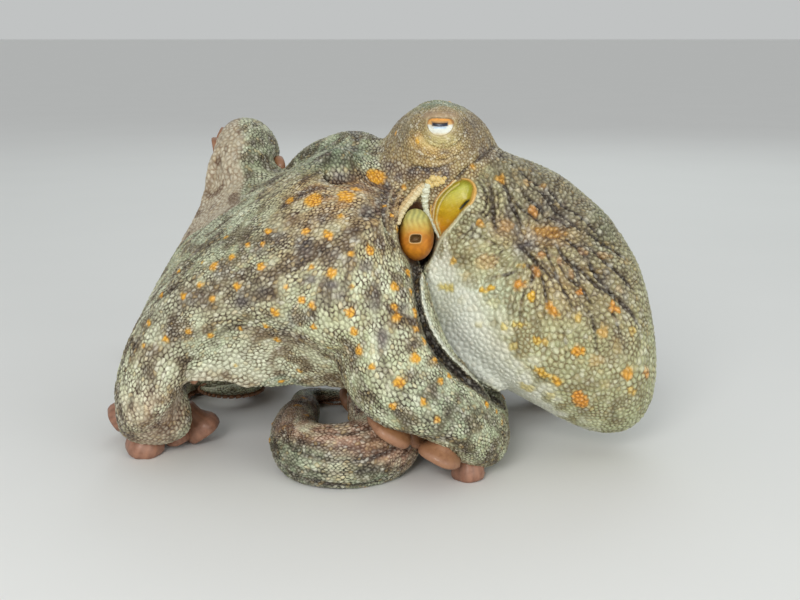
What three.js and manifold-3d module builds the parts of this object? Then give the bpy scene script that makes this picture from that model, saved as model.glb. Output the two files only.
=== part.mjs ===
// Common octopus (Octopus vulgaris), life size, standing on the floor on bent arms.
// Millimetres, +Z up, X to the animal's rear (the mantle side), -Y to its left side.
// The floor is z = 0 and the origin is the bottom centre of the bounding box.
// Every fleshy part is a closed solid of its own, parted from its neighbours by thin gaps.

import * as THREE from 'three';
import { ConvexGeometry } from 'three/addons/geometries/ConvexGeometry.js';
import { mergeVertices } from 'three/addons/utils/BufferGeometryUtils.js';
import Module from 'manifold-3d';

// ------------------------------------------------------------------ driving dimensions
const GAP = 0.3;                 // clearance between neighbouring parts
const MANTLE_LENGTH = 156;       // long axis of the mantle bag
const MANTLE_WIDTH = 96;         // across, side to side
const MANTLE_DEPTH = 102;        // from back to belly
const MANTLE_CENTRE = [71.2, 0, 80.4];
const MANTLE_TILT = [0.58, -0.815];   // x and z of the long axis, pointing to the rear tip
const MANTLE_FORM = [0.9751, -0.0171, -0.0187, 0.0193, 0.0131, 0.0477, 0.0165, 0.0281, -0.0207]; // swelling of the outline round the bag: mean, then cosine and sine of 1 to 4 turns
const HEAD_CENTRE = [19.5, 0, 146];
const HEAD_RADII = [29, 29, 29.5];
const EYE_MOUND_RADII = [18.5, 15, 16];
const EYE_MOUND_Y = 19, EYE_MOUND_X = 18.5, EYE_MOUND_Z = 159.5;
const EYE_RADIUS = 10.5, EYE_X = 19.5, EYE_Y = 25.5, EYE_Z = 164;
const CROWN_CENTRE = [-2, 2, 124];    // where the eight arms join under the head
const CROWN_RADII = [27, 27, 26];
const SHOULDER = 46;             // length of each arm's root that belongs to the crown
const FUNNEL_ROOT = [16, -10, 125], FUNNEL_TIP = [7, -39, 115];
const FUNNEL_ROOT_R = 12, FUNNEL_TIP_R = 9.5, FUNNEL_BORE_R = 3.6, FUNNEL_BORE_DEPTH = 12;
const COLLAR_CENTRE = [27, -24.5, 129];  // yellow tissue in the slit of the mantle
const COLLAR_RADII = [6, 8, 17];         // across, deep, along the slit
const WEB_THICKNESS = 3;
const WEB_START = 0.2;           // share of a web's length that lies inside the crown
const ARM_FLAT = 0.82;           // the sucker side is flatter than the back of an arm
const TUBE_SIDES = 8;
const CORNER = 1.04;             // ring radius of an eight-sided section with a round arm's area
const ORIGIN = [-15.82, 87.49];   // bottom centre of the box, before it is moved to zero

// An arm: base radius, taper power, centreline way points from root to floor, then a flat
// curl on the floor (length, turning sense, first and last bend radius), then its cut places.
const ARMS = {
  L1: { R: 18.5, taper: 2, way: [[-29, -6, 130], [-18, 10, 146], [-31, 28, 141], [-46, 52, 128], [-57, 74, 102], [-64, 92, 68], [-70, 108, 34], [-75, 130, 15], [-80, 154, 12], [-80, 180, 11]], curl: [160, -1, 28, 8], cuts: [100, 185, 300, 362] },
  L2: { R: 19.5, taper: 2, way: [[-20, -18, 123], [-25, -6, 139], [-42, 10, 128], [-59, 26, 118], [-73, 40, 121], [-81, 52, 136], [-83, 68, 149], [-87, 86, 141], [-98, 102, 108], [-108, 118, 62], [-116, 138, 28], [-124, 162, 14], [-122, 190, 12]], curl: [160, 1, 28, 8], cuts: [92, 160, 262, 352, 425] },
  L3: { R: 21, taper: 2.4, way: [[-6, -18, 113], [-25, -36, 122], [-51, -40, 106], [-82, -36, 89], [-108, -28, 65], [-119, -30, 40], [-121, -21, 24], [-124, -2, 18], [-128, 26, 14], [-133, 54, 12], [-132, 82, 10]], curl: [140, -1, 28, 9], cuts: [96, 180, 290, 350] },
  L4: { R: 24, taper: 2, way: [[3, -6, 106], [-15, -28, 114], [-11, -40, 91], [-3, -50, 67], [8, -53, 48], [23, -49, 33], [32, -38, 22], [35, -10, 17], [38, 12, 14], [37, 36, 13], [34, 60, 12], [27, 82, 11]], curl: [135, 1, 26, 7], cuts: [88, 158, 262, 322] },
  R4: { R: 19.5, taper: 2.2, way: [[3, 10, 106], [-14, 24, 84], [-15, 26, 58], [-12, 17, 35], [-8, 0, 20], [-6, -20, 16], [-9, -40, 15], [-20, -54, 14], [-34, -54, 12.5], [-45, -43, 11], [-50, -26, 10], [-53, -4, 9], [-54, 18, 7.5], [-52, 42, 6], [-55, 66, 5]], curl: [75, -1, 16, 5], cuts: [95, 155, 222, 305] },
  R3: { R: 18.5, taper: 2, way: [[-6, 22, 113], [6, 50, 94], [32, 64, 68], [58, 72, 40], [80, 76, 20], [102, 80, 14], [121, 91, 12], [131, 112, 11]], curl: [165, 1, 29, 7], cuts: [80, 155, 240, 310] },
  R2: { R: 18.5, taper: 2, way: [[-20, 22, 123], [-2, 58, 112], [14, 84, 88], [28, 104, 54], [42, 124, 25], [56, 148, 14], [72, 172, 12], [84, 196, 11]], curl: [170, -1, 29, 8], cuts: [90, 165, 280, 348] },
  R1: { R: 18.5, taper: 2, way: [[-29, 10, 130], [-26, 48, 128], [-24, 74, 108], [-19, 94, 76], [-12, 112, 40], [0, 132, 17], [14, 156, 12], [17, 184, 12], [10, 212, 11]], curl: [150, -1, 27, 8], cuts: [95, 178, 290, 350] },
};
// Directions of the sucker side where an arm is twisted: [distance along the arm, direction].
const TWIST = {
  L2: [[105, null], [150, [-0.9, -0.2, 0.1]], [215, [-0.8, 0.2, 0.2]], [300, null]],
  R4: [[110, null], [150, [-0.1, 0.75, 0.65]], [250, [-0.1, 0.75, 0.65]], [290, null]],
  L4: [[95, null], [125, [-0.6, -0.15, -0.75]], [185, [-0.45, -0.2, -0.85]], [215, null]],
};
const TENT_MIDDLE = [-40, 10, 30];   // the sucker sides of hanging arms face this point

// A web between two arms: how far it reaches along each, its share of that in the middle, the
// arch of its margin, its outward swelling, where it meets each arm (sideways and outward shares
// of the arm's radius), and the lean of the arch.
const WEBS = [
  { a: 'L3', b: 'L4', reach: [158, 174], mid: 0.87, arch: 0.8, swell: 12, join: [0.2, 0.98, 0.2, 0.98], lean: 1 },
  { a: 'L2', b: 'L3', reach: [120, 178], mid: 0.86, arch: 1.1, swell: 5, join: [0.45, 0.9, 0.25, 0.97], lean: 1 },
  { a: 'L1', b: 'L2', reach: [160, 135], mid: 0.9, arch: 1, swell: 3, join: [0.5, 0.85, 0.5, 0.85], lean: 1 },
  { a: 'R1', b: 'L1', reach: [160, 160], mid: 0.92, arch: 1, swell: 5, join: [0.5, 0.85, 0.5, 0.85], lean: 1 },
  { a: 'R2', b: 'R1', reach: [158, 162], mid: 0.94, arch: 1, swell: 7, join: [0.5, 0.85, 0.5, 0.85], lean: 1 },
  { a: 'R3', b: 'R2', reach: [140, 155], mid: 0.94, arch: 1, swell: 7, join: [0.5, 0.85, 0.5, 0.85], lean: 1 },
  { a: 'R4', b: 'R3', reach: [100, 125], mid: 0.88, arch: 1, swell: 0, join: [0.5, 0.85, 0.5, 0.85], lean: 1 },
  { a: 'L4', b: 'R4', reach: [100, 100], mid: 0.85, arch: 1, swell: -2, join: [0.5, 0.85, 0.5, 0.85], lean: 1 },
];

// Suckers big enough to stand out from the outline: [arm, first, last, step along the arm,
// sideways place as a share of the arm's radius, radius, height].
const SUCKERS = [
  ['L4', 112, 172, 20, -0.45, 7.5, 6.5],
  ['L3', 140, 166, 26, 0.5, 8, 6],
  ['L2', 132, 228, 24, -0.42, 6.5, 4.5],
  ['R4', 184, 216, 16, 0.45, 5.5, 4],
];

// ------------------------------------------------------------------ small vector tools
const add = (a, b) => [a[0] + b[0], a[1] + b[1], a[2] + b[2]];
const sub = (a, b) => [a[0] - b[0], a[1] - b[1], a[2] - b[2]];
const mul = (a, k) => [a[0] * k, a[1] * k, a[2] * k];
const dot = (a, b) => a[0] * b[0] + a[1] * b[1] + a[2] * b[2];
const cross = (a, b) => [a[1] * b[2] - a[2] * b[1], a[2] * b[0] - a[0] * b[2], a[0] * b[1] - a[1] * b[0]];
const len = (a) => Math.hypot(a[0], a[1], a[2]);
const unit = (a) => mul(a, 1 / (len(a) || 1));
const mix = (a, b, t) => add(mul(a, 1 - t), mul(b, t));
const clamp = (x, a, b) => Math.min(b, Math.max(a, x));
const smooth = (a, b, x) => { const t = clamp((x - a) / (b - a), 0, 1); return t * t * (3 - 2 * t); };

function arcLengths(q) {
  const s = [0];
  for (let i = 1; i < q.length; i++) s.push(s[i - 1] + len(sub(q[i], q[i - 1])));
  return s;
}
function locate(s, x) {
  let lo = 0, hi = s.length - 1;
  if (x <= s[0]) return [0, 0];
  if (x >= s[hi]) return [hi - 1, 1];
  while (hi - lo > 1) { const m = (lo + hi) >> 1; if (s[m] <= x) lo = m; else hi = m; }
  return [lo, (x - s[lo]) / (s[hi] - s[lo])];
}
const sample = (q, s, x) => { const [i, t] = locate(s, x); return mix(q[i], q[i + 1], t); };
function relax(q, rounds) {
  for (let n = 0; n < rounds; n++) {
    const p = q.map((v) => v.slice());
    for (let i = 1; i < q.length - 1; i++) for (let k = 0; k < 3; k++) q[i][k] = 0.5 * p[i][k] + 0.25 * (p[i - 1][k] + p[i + 1][k]);
  }
  return q;
}
function even(q, step, rounds) {
  const s = arcLengths(q), L = s[s.length - 1], n = Math.max(8, Math.round(L / step)), out = [];
  for (let i = 0; i <= n; i++) out.push(sample(q, s, (L * i) / n));
  return relax(out, rounds);
}
// Centripetal Catmull-Rom curve through the way points.
function curveThrough(pts) {
  const p = [sub(mul(pts[0], 2), pts[1]), ...pts, sub(mul(pts[pts.length - 1], 2), pts[pts.length - 2])], out = [];
  for (let i = 1; i < p.length - 2; i++) {
    const [a, b, c, d] = p.slice(i - 1, i + 3);
    const t0 = 0, t1 = Math.sqrt(len(sub(b, a))), t2 = t1 + Math.sqrt(len(sub(c, b))), t3 = t2 + Math.sqrt(len(sub(d, c)));
    for (let k = 0; k < 24; k++) {
      const t = t1 + ((t2 - t1) * k) / 24;
      const A1 = mix(a, b, (t - t0) / (t1 - t0)), A2 = mix(b, c, (t - t1) / (t2 - t1)), A3 = mix(c, d, (t - t2) / (t3 - t2));
      const B1 = mix(A1, A2, (t - t0) / (t2 - t0)), B2 = mix(A2, A3, (t - t1) / (t3 - t1));
      out.push(mix(B1, B2, (t - t1) / (t2 - t1)));
    }
  }
  out.push(pts[pts.length - 1]);
  return out;
}

// ------------------------------------------------------------------ the arms' centrelines
// Rounds off bends that are tighter than the arm is thick.
function roundOff(q, r, first = 18, rounds = 140, limit = 0.86) {
  const n = q.length;
  for (let round = 0; round < rounds; round++) {
    const t = new Array(n).fill(0);
    for (let i = 1; i < n - 1; i++) {
      const L = len(sub(q[i + 1], q[i - 1])) / 2;
      t[i] = i < first ? 0 : (len(add(sub(q[i + 1], q[i]), sub(q[i - 1], q[i]))) / L ** 2) * r[i];
    }
    let w = t.map((x) => (x > limit ? 1 : 0));
    for (let k = 0; k < 6; k++) w = w.map((x, i) => Math.max(x, 0.9 * Math.max(w[i + 1] || 0, w[i - 1] || 0)));
    w = w.map((x, i) => (t[i] <= 0 ? 0 : x));
    if (Math.max(...w) === 0) break;
    const p = q.map((v) => v.slice());
    for (let i = 1; i < n - 1; i++) for (let k = 0; k < 3; k++) q[i][k] += w[i] * (0.5 * p[i][k] + 0.25 * (p[i - 1][k] + p[i + 1][k]) - p[i][k]);
    for (let i = 1; i < n - 1; i++) q[i][2] = Math.max(q[i][2], 0.8 * r[i]);
  }
}
function makeArm(name) {
  const { R, taper, way, curl } = ARMS[name];
  let q = curveThrough(way);
  const [Lt, sense, p0, p1] = curl, turns = (2 * Lt) / (p0 + p1);
  const h = sub(q[q.length - 1], q[q.length - 2]);
  let heading = Math.atan2(h[1], h[0]), p = q[q.length - 1].slice(), th = 0;
  for (let i = 0; i < Lt; i++) {
    const dth = 1 / (p0 + ((p1 - p0) * th) / turns);
    th += dth; heading += sense * dth;
    p = add(p, [Math.cos(heading), Math.sin(heading), 0]);
    q.push(p);
  }
  q = even(even(q, 2, 10), 2, 10);
  let s = arcLengths(q), L = s[s.length - 1];
  const r = s.map((x) => Math.max(1.3, R * (1 - (x / L) ** taper) * (0.8 + 0.2 * clamp(x / 60, 0, 1))));
  // low lengths settle to the floor
  const z = q.map((v, i) => {
    const w = s[i] > 60 ? 1 - smooth(r[i], 1.5 * r[i], v[2]) : 0;
    return Math.max(v[2] * (1 - w) + w * 0.8 * r[i], 0.8 * r[i]);
  });
  for (let n = 0; n < 8; n++) { const c = z.slice(); for (let i = 1; i < z.length - 1; i++) z[i] = 0.5 * c[i] + 0.25 * (c[i - 1] + c[i + 1]); }
  q.forEach((v, i) => { v[2] = z[i]; });
  roundOff(q, r);
  s = arcLengths(q); L = s[s.length - 1];
  const T = q.map((v, i) => unit(sub(q[Math.min(i + 1, q.length - 1)], q[Math.max(i - 1, 0)])));
  let O = q.map((v) => {
    const t = sub(TENT_MIDDLE, v); t[2] *= 0.6;
    return mix([0, 0, -1], unit(t), smooth(14, 60, v[2]));
  });
  const keys = TWIST[name];
  if (keys) {
    O = O.map((o, i) => {
      for (let k = 0; k + 1 < keys.length; k++) {
        const [s0, v0] = keys[k], [s1, v1] = keys[k + 1];
        if (s[i] >= s0 && s[i] < s1) return mix(v0 || o, v1 || o, smooth(s0, s1, s[i]));
      }
      return o;
    });
  }
  const square = (o, i) => unit(sub(o, mul(T[i], dot(o, T[i]))));
  O = O.map(square);
  for (let n = 0; n < 12; n++) {
    const c = O.map((o) => o.slice());
    for (let i = 1; i < O.length - 1; i++) O[i] = square(add(mul(c[i], 0.5), mul(add(c[i - 1], c[i + 1]), 0.25)), i);
  }
  const S = T.map((t, i) => cross(t, O[i]));
  return { q, s, r, T, O, S, L };
}

// ------------------------------------------------------------------ meshes as plain data
// A mesh is { v: [[x, y, z]...], f: [[i, j, k]...] } with faces pointing out.
function hull(points) {
  const g = new ConvexGeometry(points.map((p) => new THREE.Vector3(...p)));
  g.deleteAttribute('normal');
  const m = mergeVertices(g, 1e-4), a = m.attributes.position, i = m.index.array, v = [], f = [];
  for (let k = 0; k < a.count; k++) v.push([a.getX(k), a.getY(k), a.getZ(k)]);
  for (let k = 0; k < i.length; k += 3) f.push([i[k], i[k + 1], i[k + 2]]);
  return { v, f };
}
const lift = (v) => [v[0], v[1], v[2] < 0 ? 0 : v[2]];

// Sections of a length of arm, swollen by grow: points in rings of n.
function armRings(A, s0, s1, grow = 0, floor = true) {
  const n = A.r[locate(A.s, s0)[0]] > 11 ? TUBE_SIDES : TUBE_SIDES - 2, v = [];
  // sections are closer where the arm bends or is thin
  const at = [s0];
  while (at[at.length - 1] < s1) {
    const x = at[at.length - 1], [i] = locate(A.s, x), j = Math.min(i + 4, A.s.length - 1), k = Math.max(i - 4, 0);
    const bend = len(sub(A.T[j], A.T[k])) / Math.max(1, A.s[j] - A.s[k]);
    const r = A.r[i];
    at.push(x + clamp(0.6 / Math.max(bend, 0.012), 7.5, Math.max(10, 1.5 * r)));
  }
  if (at.length > 2 && s1 - at[at.length - 2] < 3) at.splice(at.length - 2, 1);
  at[at.length - 1] = s1;
  for (const x of at) {
    const end = x === s0 ? -grow : x === s1 ? grow : 0;
    const p = add(sample(A.q, A.s, x), mul(unit(sample(A.T, A.s, x)), end)), O = unit(sample(A.O, A.s, x)), S = unit(sample(A.S, A.s, x));
    const [i, t] = locate(A.s, x), r = A.r[i] * (1 - t) + A.r[i + 1] * t;
    for (let k = 0; k < n; k++) {
      const a = ((k + 0.5) / n) * 2 * Math.PI, c = Math.cos(a), d = Math.sin(a);
      const rr = r * CORNER;
      let w = add(p, add(mul(S, c * (rr * 1.03 + grow)), mul(O, -(d > 0 ? d * (rr + grow) : d * (rr * ARM_FLAT + grow)))));
      if (floor && x > 100 && w[2] < 0.12 * r + 0.02) w = [w[0], w[1], 0];
      if (floor) w = lift(w);
      v.push(w);
    }
  }
  return { v, n };
}
// Closed tube of a length of arm; the two ends are flat.
function armSolid(A, s0, s1) {
  const { v, n } = armRings(A, s0, s1), f = [], m = v.length / n;
  for (let i = 0; i + 1 < m; i++) for (let k = 0; k < n; k++) {
    const a = i * n + k, b = i * n + ((k + 1) % n), c = a + n, d = b + n;
    f.push([a, b, d], [a, d, c]);
  }
  for (let k = 1; k < n - 1; k++) { const e = (m - 1) * n; f.push([0, k + 1, k], [e, e + k, e + k + 1]); }
  return { v, f };
}
// The room a length of arm takes up, swollen by grow: the hulls of neighbouring sections, joined.
function armRoom(A, s0, s1, grow) {
  const { v, n } = armRings(A, s0, s1, grow, false);
  let man = null;
  for (let i = 0; i + 2 * n <= v.length; i += n) {
    const m = solid(hull(v.slice(i, i + 2 * n)));
    man = man ? man.add(m) : m;
  }
  return { man, v };
}

// Ellipsoid on axes ax (rows), swollen by grow; form bends each direction's radius.
function ellipsoid(c, ax, rad, nu, nv, grow = 0, form = null) {
  const v = [], f = [];
  const put = (d) => {
    const m = form ? form(d) : 1;
    const p = [d[0] * (rad[0] * m + grow), d[1] * (rad[1] + grow), d[2] * (rad[2] * m + grow)];
    v.push(add(c, add(mul(ax[0], p[0]), add(mul(ax[1], p[1]), mul(ax[2], p[2])))));
  };
  for (let i = 1; i < nv; i++) for (let j = 0; j < nu; j++) {
    const b = (Math.PI * i) / nv, a = (2 * Math.PI * j) / nu;
    put([Math.cos(b), Math.sin(b) * Math.cos(a), Math.sin(b) * Math.sin(a)]);
  }
  put([1, 0, 0]); put([-1, 0, 0]);
  const N = (nv - 1) * nu, E = (nv - 2) * nu;
  for (let i = 0; i < nv - 2; i++) for (let j = 0; j < nu; j++) {
    const a = i * nu + j, b = i * nu + ((j + 1) % nu), c2 = a + nu, d = b + nu;
    f.push([a, d, b], [a, c2, d]);
  }
  for (let j = 0; j < nu; j++) { f.push([N, j, (j + 1) % nu]); f.push([N + 1, E + ((j + 1) % nu), E + j]); }
  return { v, f };
}
const XYZ = [[1, 0, 0], [0, 1, 0], [0, 0, 1]];

// Round loft along straight line a to b with radii at even steps.
function loft(a, b, radii, n, squash = 1) {
  const v = [], f = [], T = unit(sub(b, a)), U = unit(cross(T, [0, 1, 0.01])), W = cross(T, U), m = radii.length;
  radii.forEach(([t, r]) => {
    for (let k = 0; k < n; k++) {
      const g = (2 * Math.PI * k) / n;
      v.push(add(mix(a, b, t), add(mul(U, Math.cos(g) * r * squash), mul(W, Math.sin(g) * r))));
    }
  });
  for (let i = 0; i < m - 1; i++) for (let k = 0; k < n; k++) {
    const p = i * n + k, q = i * n + ((k + 1) % n), c = p + n, d = q + n;
    f.push([p, q, d], [p, d, c]);
  }
  for (let k = 1; k < n - 1; k++) { f.push([0, k + 1, k]); const e = (m - 1) * n; f.push([e, e + k, e + k + 1]); }
  return { v, f };
}

// Web between two arms: a slab with an arched free margin.
function webSolid(w, C, grow = 0) {
  const A = C[w.a], B = C[w.b], nu = 5, nt = 3, g = grow;
  const [sda, oua, sdb, oub] = w.join, W = [], N = [];
  for (let i = 0; i <= nu; i++) {
    const row = [], nrow = [];
    for (let j = 0; j <= nt; j++) {
      const t = j / nt, share = 1 - (1 - w.mid) * Math.sin(Math.PI * t ** w.lean) ** w.arch, u = (WEB_START + ((1 - WEB_START) * i) / nu) * share;
      const edge = (X, xs, other, sd, ou) => {
        const p = sample(X.q, X.s, xs), O = unit(sample(X.O, X.s, xs)), S = unit(sample(X.S, X.s, xs));
        const [k, h] = locate(X.s, xs), r = X.r[k] * (1 - h) + X.r[k + 1] * h;
        return [add(p, mul(add(mul(S, sd * other), mul(O, -ou)), r)), mul(O, -1)];
      };
      const [pa, na] = edge(A, u * w.reach[0], w.sideA, sda, oua), [pb, nb] = edge(B, u * w.reach[1], w.sideB, sdb, oub);
      row.push(mix(pa, pb, t)); nrow.push(mix(na, nb, t));
    }
    W.push(row); N.push(nrow);
  }
  let side = 0;
  const G = W.map((row, i) => row.map((p, j) => {
    const du = sub(W[Math.min(i + 1, nu)][j], W[Math.max(i - 1, 0)][j]), dt = sub(W[i][Math.min(j + 1, nt)], W[i][Math.max(j - 1, 0)]);
    const n = unit(cross(du, dt));
    side += dot(n, N[i][j]);
    return n;
  })).map((row) => row.map((n) => mul(n, Math.sign(side))));
  G[0] = G[1];
  const top = [], bot = [];
  W.forEach((row, i) => row.forEach((p, j) => {
    const t = j / nt, share = 1 - (1 - w.mid) * Math.sin(Math.PI * t ** w.lean) ** w.arch, u = (WEB_START + ((1 - WEB_START) * i) / nu) * share;
    const q = add(p, mul(G[i][j], w.swell * Math.sin(Math.PI * t) * Math.sin(Math.PI * clamp(u * 0.75 + 0.12, 0, 1))));
    top.push(lift(add(q, mul(G[i][j], g)))); bot.push(lift(add(q, mul(G[i][j], -WEB_THICKNESS - g))));
  }));
  // joined from small three-sided cells, so that a tight fold can't turn the slab inside out
  const id = (i, j) => i * (nt + 1) + j;
  let man = null;
  for (let i = 0; i < nu; i++) for (let j = 0; j < nt; j++) {
    const c = [id(i, j), id(i, j + 1), id(i + 1, j + 1), id(i + 1, j)];
    for (const half of [[0, 1, 2], [0, 2, 3]]) {
      const m = solid(hull([...half.map((k) => top[c[k]]), ...half.map((k) => bot[c[k]])]));
      man = man ? man.add(m) : m;
    }
  }
  return { man, v: [...top, ...bot] };
}

// ------------------------------------------------------------------ joining and cutting
const wasm = await Module();
wasm.setup();
const volume = ({ v, f }) => f.reduce((t, [a, b, c]) => t + dot(v[a], cross(v[b], v[c])) / 6, 0);
function solid(m) {
  const flip = volume(m) < 0;
  const vertProperties = new Float32Array(m.v.flat());
  const triVerts = new Uint32Array(m.f.flatMap(([a, b, c]) => (flip ? [a, c, b] : [a, b, c])));
  return new wasm.Manifold(new wasm.Mesh({ numProp: 3, vertProperties, triVerts }));
}
// The largest connected piece of a solid, as plain data, with points nearer than grain merged.
function biggest(man) {
  let best = null;
  for (const piece of man.decompose()) if (!best || piece.volume() > best.volume()) best = piece;
  return best;
}
function dataOf(man, grain) {
  const g = man.getMesh(), v = [], f = [], key = new Map(), id = [];
  for (let i = 0; i < g.vertProperties.length; i += 3) {
    const p = [0, 1, 2].map((k) => Math.round(g.vertProperties[i + k] / grain) * grain), k = p.join();
    if (!key.has(k)) { key.set(k, v.length); v.push(p); }
    id.push(key.get(k));
  }
  for (let i = 0; i < g.triVerts.length; i += 3) {
    const t = [id[g.triVerts[i]], id[g.triVerts[i + 1]], id[g.triVerts[i + 2]]];
    if (t[0] !== t[1] && t[1] !== t[2] && t[0] !== t[2]) f.push(t);
  }
  // two faces back to back enclose nothing
  const seen = new Map(), gone = new Set();
  f.forEach((t, i) => { const k = [...t].sort((a, b) => a - b).join(); if (seen.has(k)) { gone.add(i); gone.add(seen.get(k)); seen.delete(k); } else seen.set(k, i); });
  return { v, f: f.filter((_, i) => !gone.has(i)) };
}
function largest(man) {
  let best = biggest(man);
  for (const grain of [0.02, 0.02, 0.02]) {
    try { best = biggest(solid(dataOf(best, grain))); } catch (e) { continue; }
  }
  return dataOf(best, 0.001);
}
const boxOf = (m) => { const b = [[1e9, 1e9, 1e9], [-1e9, -1e9, -1e9]]; for (const p of m.v) for (let k = 0; k < 3; k++) { b[0][k] = Math.min(b[0][k], p[k]); b[1][k] = Math.max(b[1][k], p[k]); } return b; };
const near = (a, b, e = 0.5) => [0, 1, 2].every((k) => a[0][k] < b[1][k] + e && b[0][k] < a[1][k] + e);

const taken = [];   // swollen copies of the finished parts, which later parts keep clear of
const reserve = (name, mesh) => taken.push({ name, box: boxOf(mesh), man: mesh.man || solid(mesh) });

// ------------------------------------------------------------------ materials
const SKIN = () => new THREE.MeshStandardMaterial({ color: 0xa89a78, roughness: 0.6, metalness: 0 });
const WEB_SKIN = () => new THREE.MeshStandardMaterial({ color: 0xb3a684, roughness: 0.6, metalness: 0 });
const MANTLE_SKIN = () => new THREE.MeshStandardMaterial({ color: 0xb9ad85, roughness: 0.6, metalness: 0 });
const EYE = () => new THREE.MeshStandardMaterial({ color: 0xd8cfa0, roughness: 0.12, metalness: 0 });
const FUNNEL = () => new THREE.MeshStandardMaterial({ color: 0xc9822a, roughness: 0.45, metalness: 0 });
const COLLAR = () => new THREE.MeshStandardMaterial({ color: 0xb5b04a, roughness: 0.45, metalness: 0 });

const animal = new THREE.Group();
animal.name = 'octopus';
function addPart(name, mesh, material) {
  const pos = new Float32Array(mesh.v.flatMap((p) => [p[0] - ORIGIN[0], p[1] - ORIGIN[1], p[2]]));
  const geometry = new THREE.BufferGeometry();
  geometry.setAttribute('position', new THREE.BufferAttribute(pos, 3));
  const flip = volume(mesh) < 0;
  geometry.setIndex(mesh.f.flatMap(([a, b, c]) => (flip ? [a, c, b] : [a, b, c])));
  geometry.computeVertexNormals();
  const part = new THREE.Mesh(geometry, material);
  part.name = name;
  animal.add(part);
}

// ------------------------------------------------------------------ mantle, head, eyes, funnel
const MU = unit([MANTLE_TILT[0], 0, MANTLE_TILT[1]]), MW = [-MU[2], 0, MU[0]], MV = cross(MW, MU);
const mantleForm = (d) => {
  const rho = Math.hypot(d[0], d[2]), phi = Math.atan2(d[2], d[0]);
  let m = MANTLE_FORM[0];
  for (let k = 1; k <= 4; k++) m += MANTLE_FORM[2 * k - 1] * Math.cos(k * phi) + MANTLE_FORM[2 * k] * Math.sin(k * phi);
  return 1 + (m - 1) * rho * rho;
};
const mantleRadii = [MANTLE_LENGTH / 2, MANTLE_WIDTH / 2, MANTLE_DEPTH / 2];
const mantleMesh = (g) => ellipsoid(MANTLE_CENTRE, [MU, MV, MW], mantleRadii, 16, 12, g, mantleForm);
const headMan = (g) => solid(ellipsoid(HEAD_CENTRE, XYZ, HEAD_RADII, 11, 8, g))
  .add(solid(ellipsoid([EYE_MOUND_X, -EYE_MOUND_Y, EYE_MOUND_Z], XYZ, EYE_MOUND_RADII, 8, 6, g)))
  .add(solid(ellipsoid([EYE_MOUND_X, EYE_MOUND_Y, EYE_MOUND_Z], XYZ, EYE_MOUND_RADII, 8, 6, g)));
const eyeMesh = (side, g) => ellipsoid([EYE_X, side * EYE_Y, EYE_Z], [[0, side, 0], [0, 0, 1], [1, 0, 0]], [EYE_RADIUS, EYE_RADIUS * 0.9, EYE_RADIUS], 8, 6, g);
// collar tissue along the slit, which runs down and to the front on the left side
const SLIT = unit([0.48, 0, 0.87]), SLIT_OUT = unit([-0.25, -0.95, -0.1]);
const SLIT_Y = unit(sub(SLIT_OUT, mul(SLIT, dot(SLIT_OUT, SLIT)))), SLIT_X = cross(SLIT_Y, SLIT);
const collarMesh = (g) => ellipsoid(COLLAR_CENTRE, [SLIT_Y, SLIT, SLIT_X], [COLLAR_RADII[1], COLLAR_RADII[2], COLLAR_RADII[0]], 8, 7, g);
const funnelMesh = (g) => loft(FUNNEL_ROOT, FUNNEL_TIP, [[-g / 25, FUNNEL_ROOT_R + g], [0.7, FUNNEL_ROOT_R * 0.92 + g], [0.93, FUNNEL_TIP_R + g], [1 + g / 25, FUNNEL_TIP_R * 0.72 + g]], 10, 0.86);
const funnelBore = () => {
  const T = unit(sub(FUNNEL_TIP, FUNNEL_ROOT));
  return loft(add(FUNNEL_TIP, mul(T, -FUNNEL_BORE_DEPTH)), add(FUNNEL_TIP, mul(T, 3)), [[0, FUNNEL_BORE_R * 0.7], [1, FUNNEL_BORE_R * 1.25]], 8, 0.9);
};

const mantle = largest(solid(mantleMesh(0)).subtract(headMan(GAP)).subtract(solid(collarMesh(GAP))).subtract(solid(funnelMesh(GAP))));
addPart('mantle', mantle, MANTLE_SKIN());
addPart('head', largest(headMan(0).subtract(solid(eyeMesh(-1, GAP))).subtract(solid(eyeMesh(1, GAP))).subtract(solid(collarMesh(GAP))).subtract(solid(funnelMesh(GAP)))), SKIN());
addPart('eye_left', eyeMesh(-1, 0), EYE());
addPart('eye_right', eyeMesh(1, 0), EYE());
addPart('mantle_collar', largest(solid(collarMesh(0)).subtract(solid(funnelMesh(GAP)))), COLLAR());
addPart('funnel', largest(solid(funnelMesh(0)).subtract(solid(funnelBore()))), FUNNEL());
reserve('mantle', mantleMesh(GAP));
taken.push({ name: 'head', box: [[-15, -40, 110], [55, 40, 180]], man: headMan(GAP) });
reserve('mantle_collar', collarMesh(GAP));
reserve('funnel', funnelMesh(GAP));

// ------------------------------------------------------------------ arms
const C = {};
for (const name of Object.keys(ARMS)) C[name] = makeArm(name);
// the crown: a round core and the shoulders of the eight arms, as rows of overlapping balls
const crownMan = (g) => {
  let man = solid(ellipsoid(CROWN_CENTRE, XYZ, CROWN_RADII, 8, 6, g));
  for (const name of Object.keys(ARMS)) {
    const A = C[name];
    for (let x = 30; x < SHOULDER; x += 17) {
      const r = A.r[locate(A.s, x)[0]] * 1.02;
      man = man.add(solid(ellipsoid(sample(A.q, A.s, x), XYZ, [r, r, r], 6, 5, g)));
    }
  }
  return man;
};
let crown = crownMan(0);
for (const t of taken) crown = crown.subtract(t.man);
addPart('arm_crown', largest(crown), SKIN());
taken.push({ name: 'arm_crown', box: [[-75, -75, 60], [60, 75, 175]], man: crownMan(GAP * 1.4) });

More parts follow.
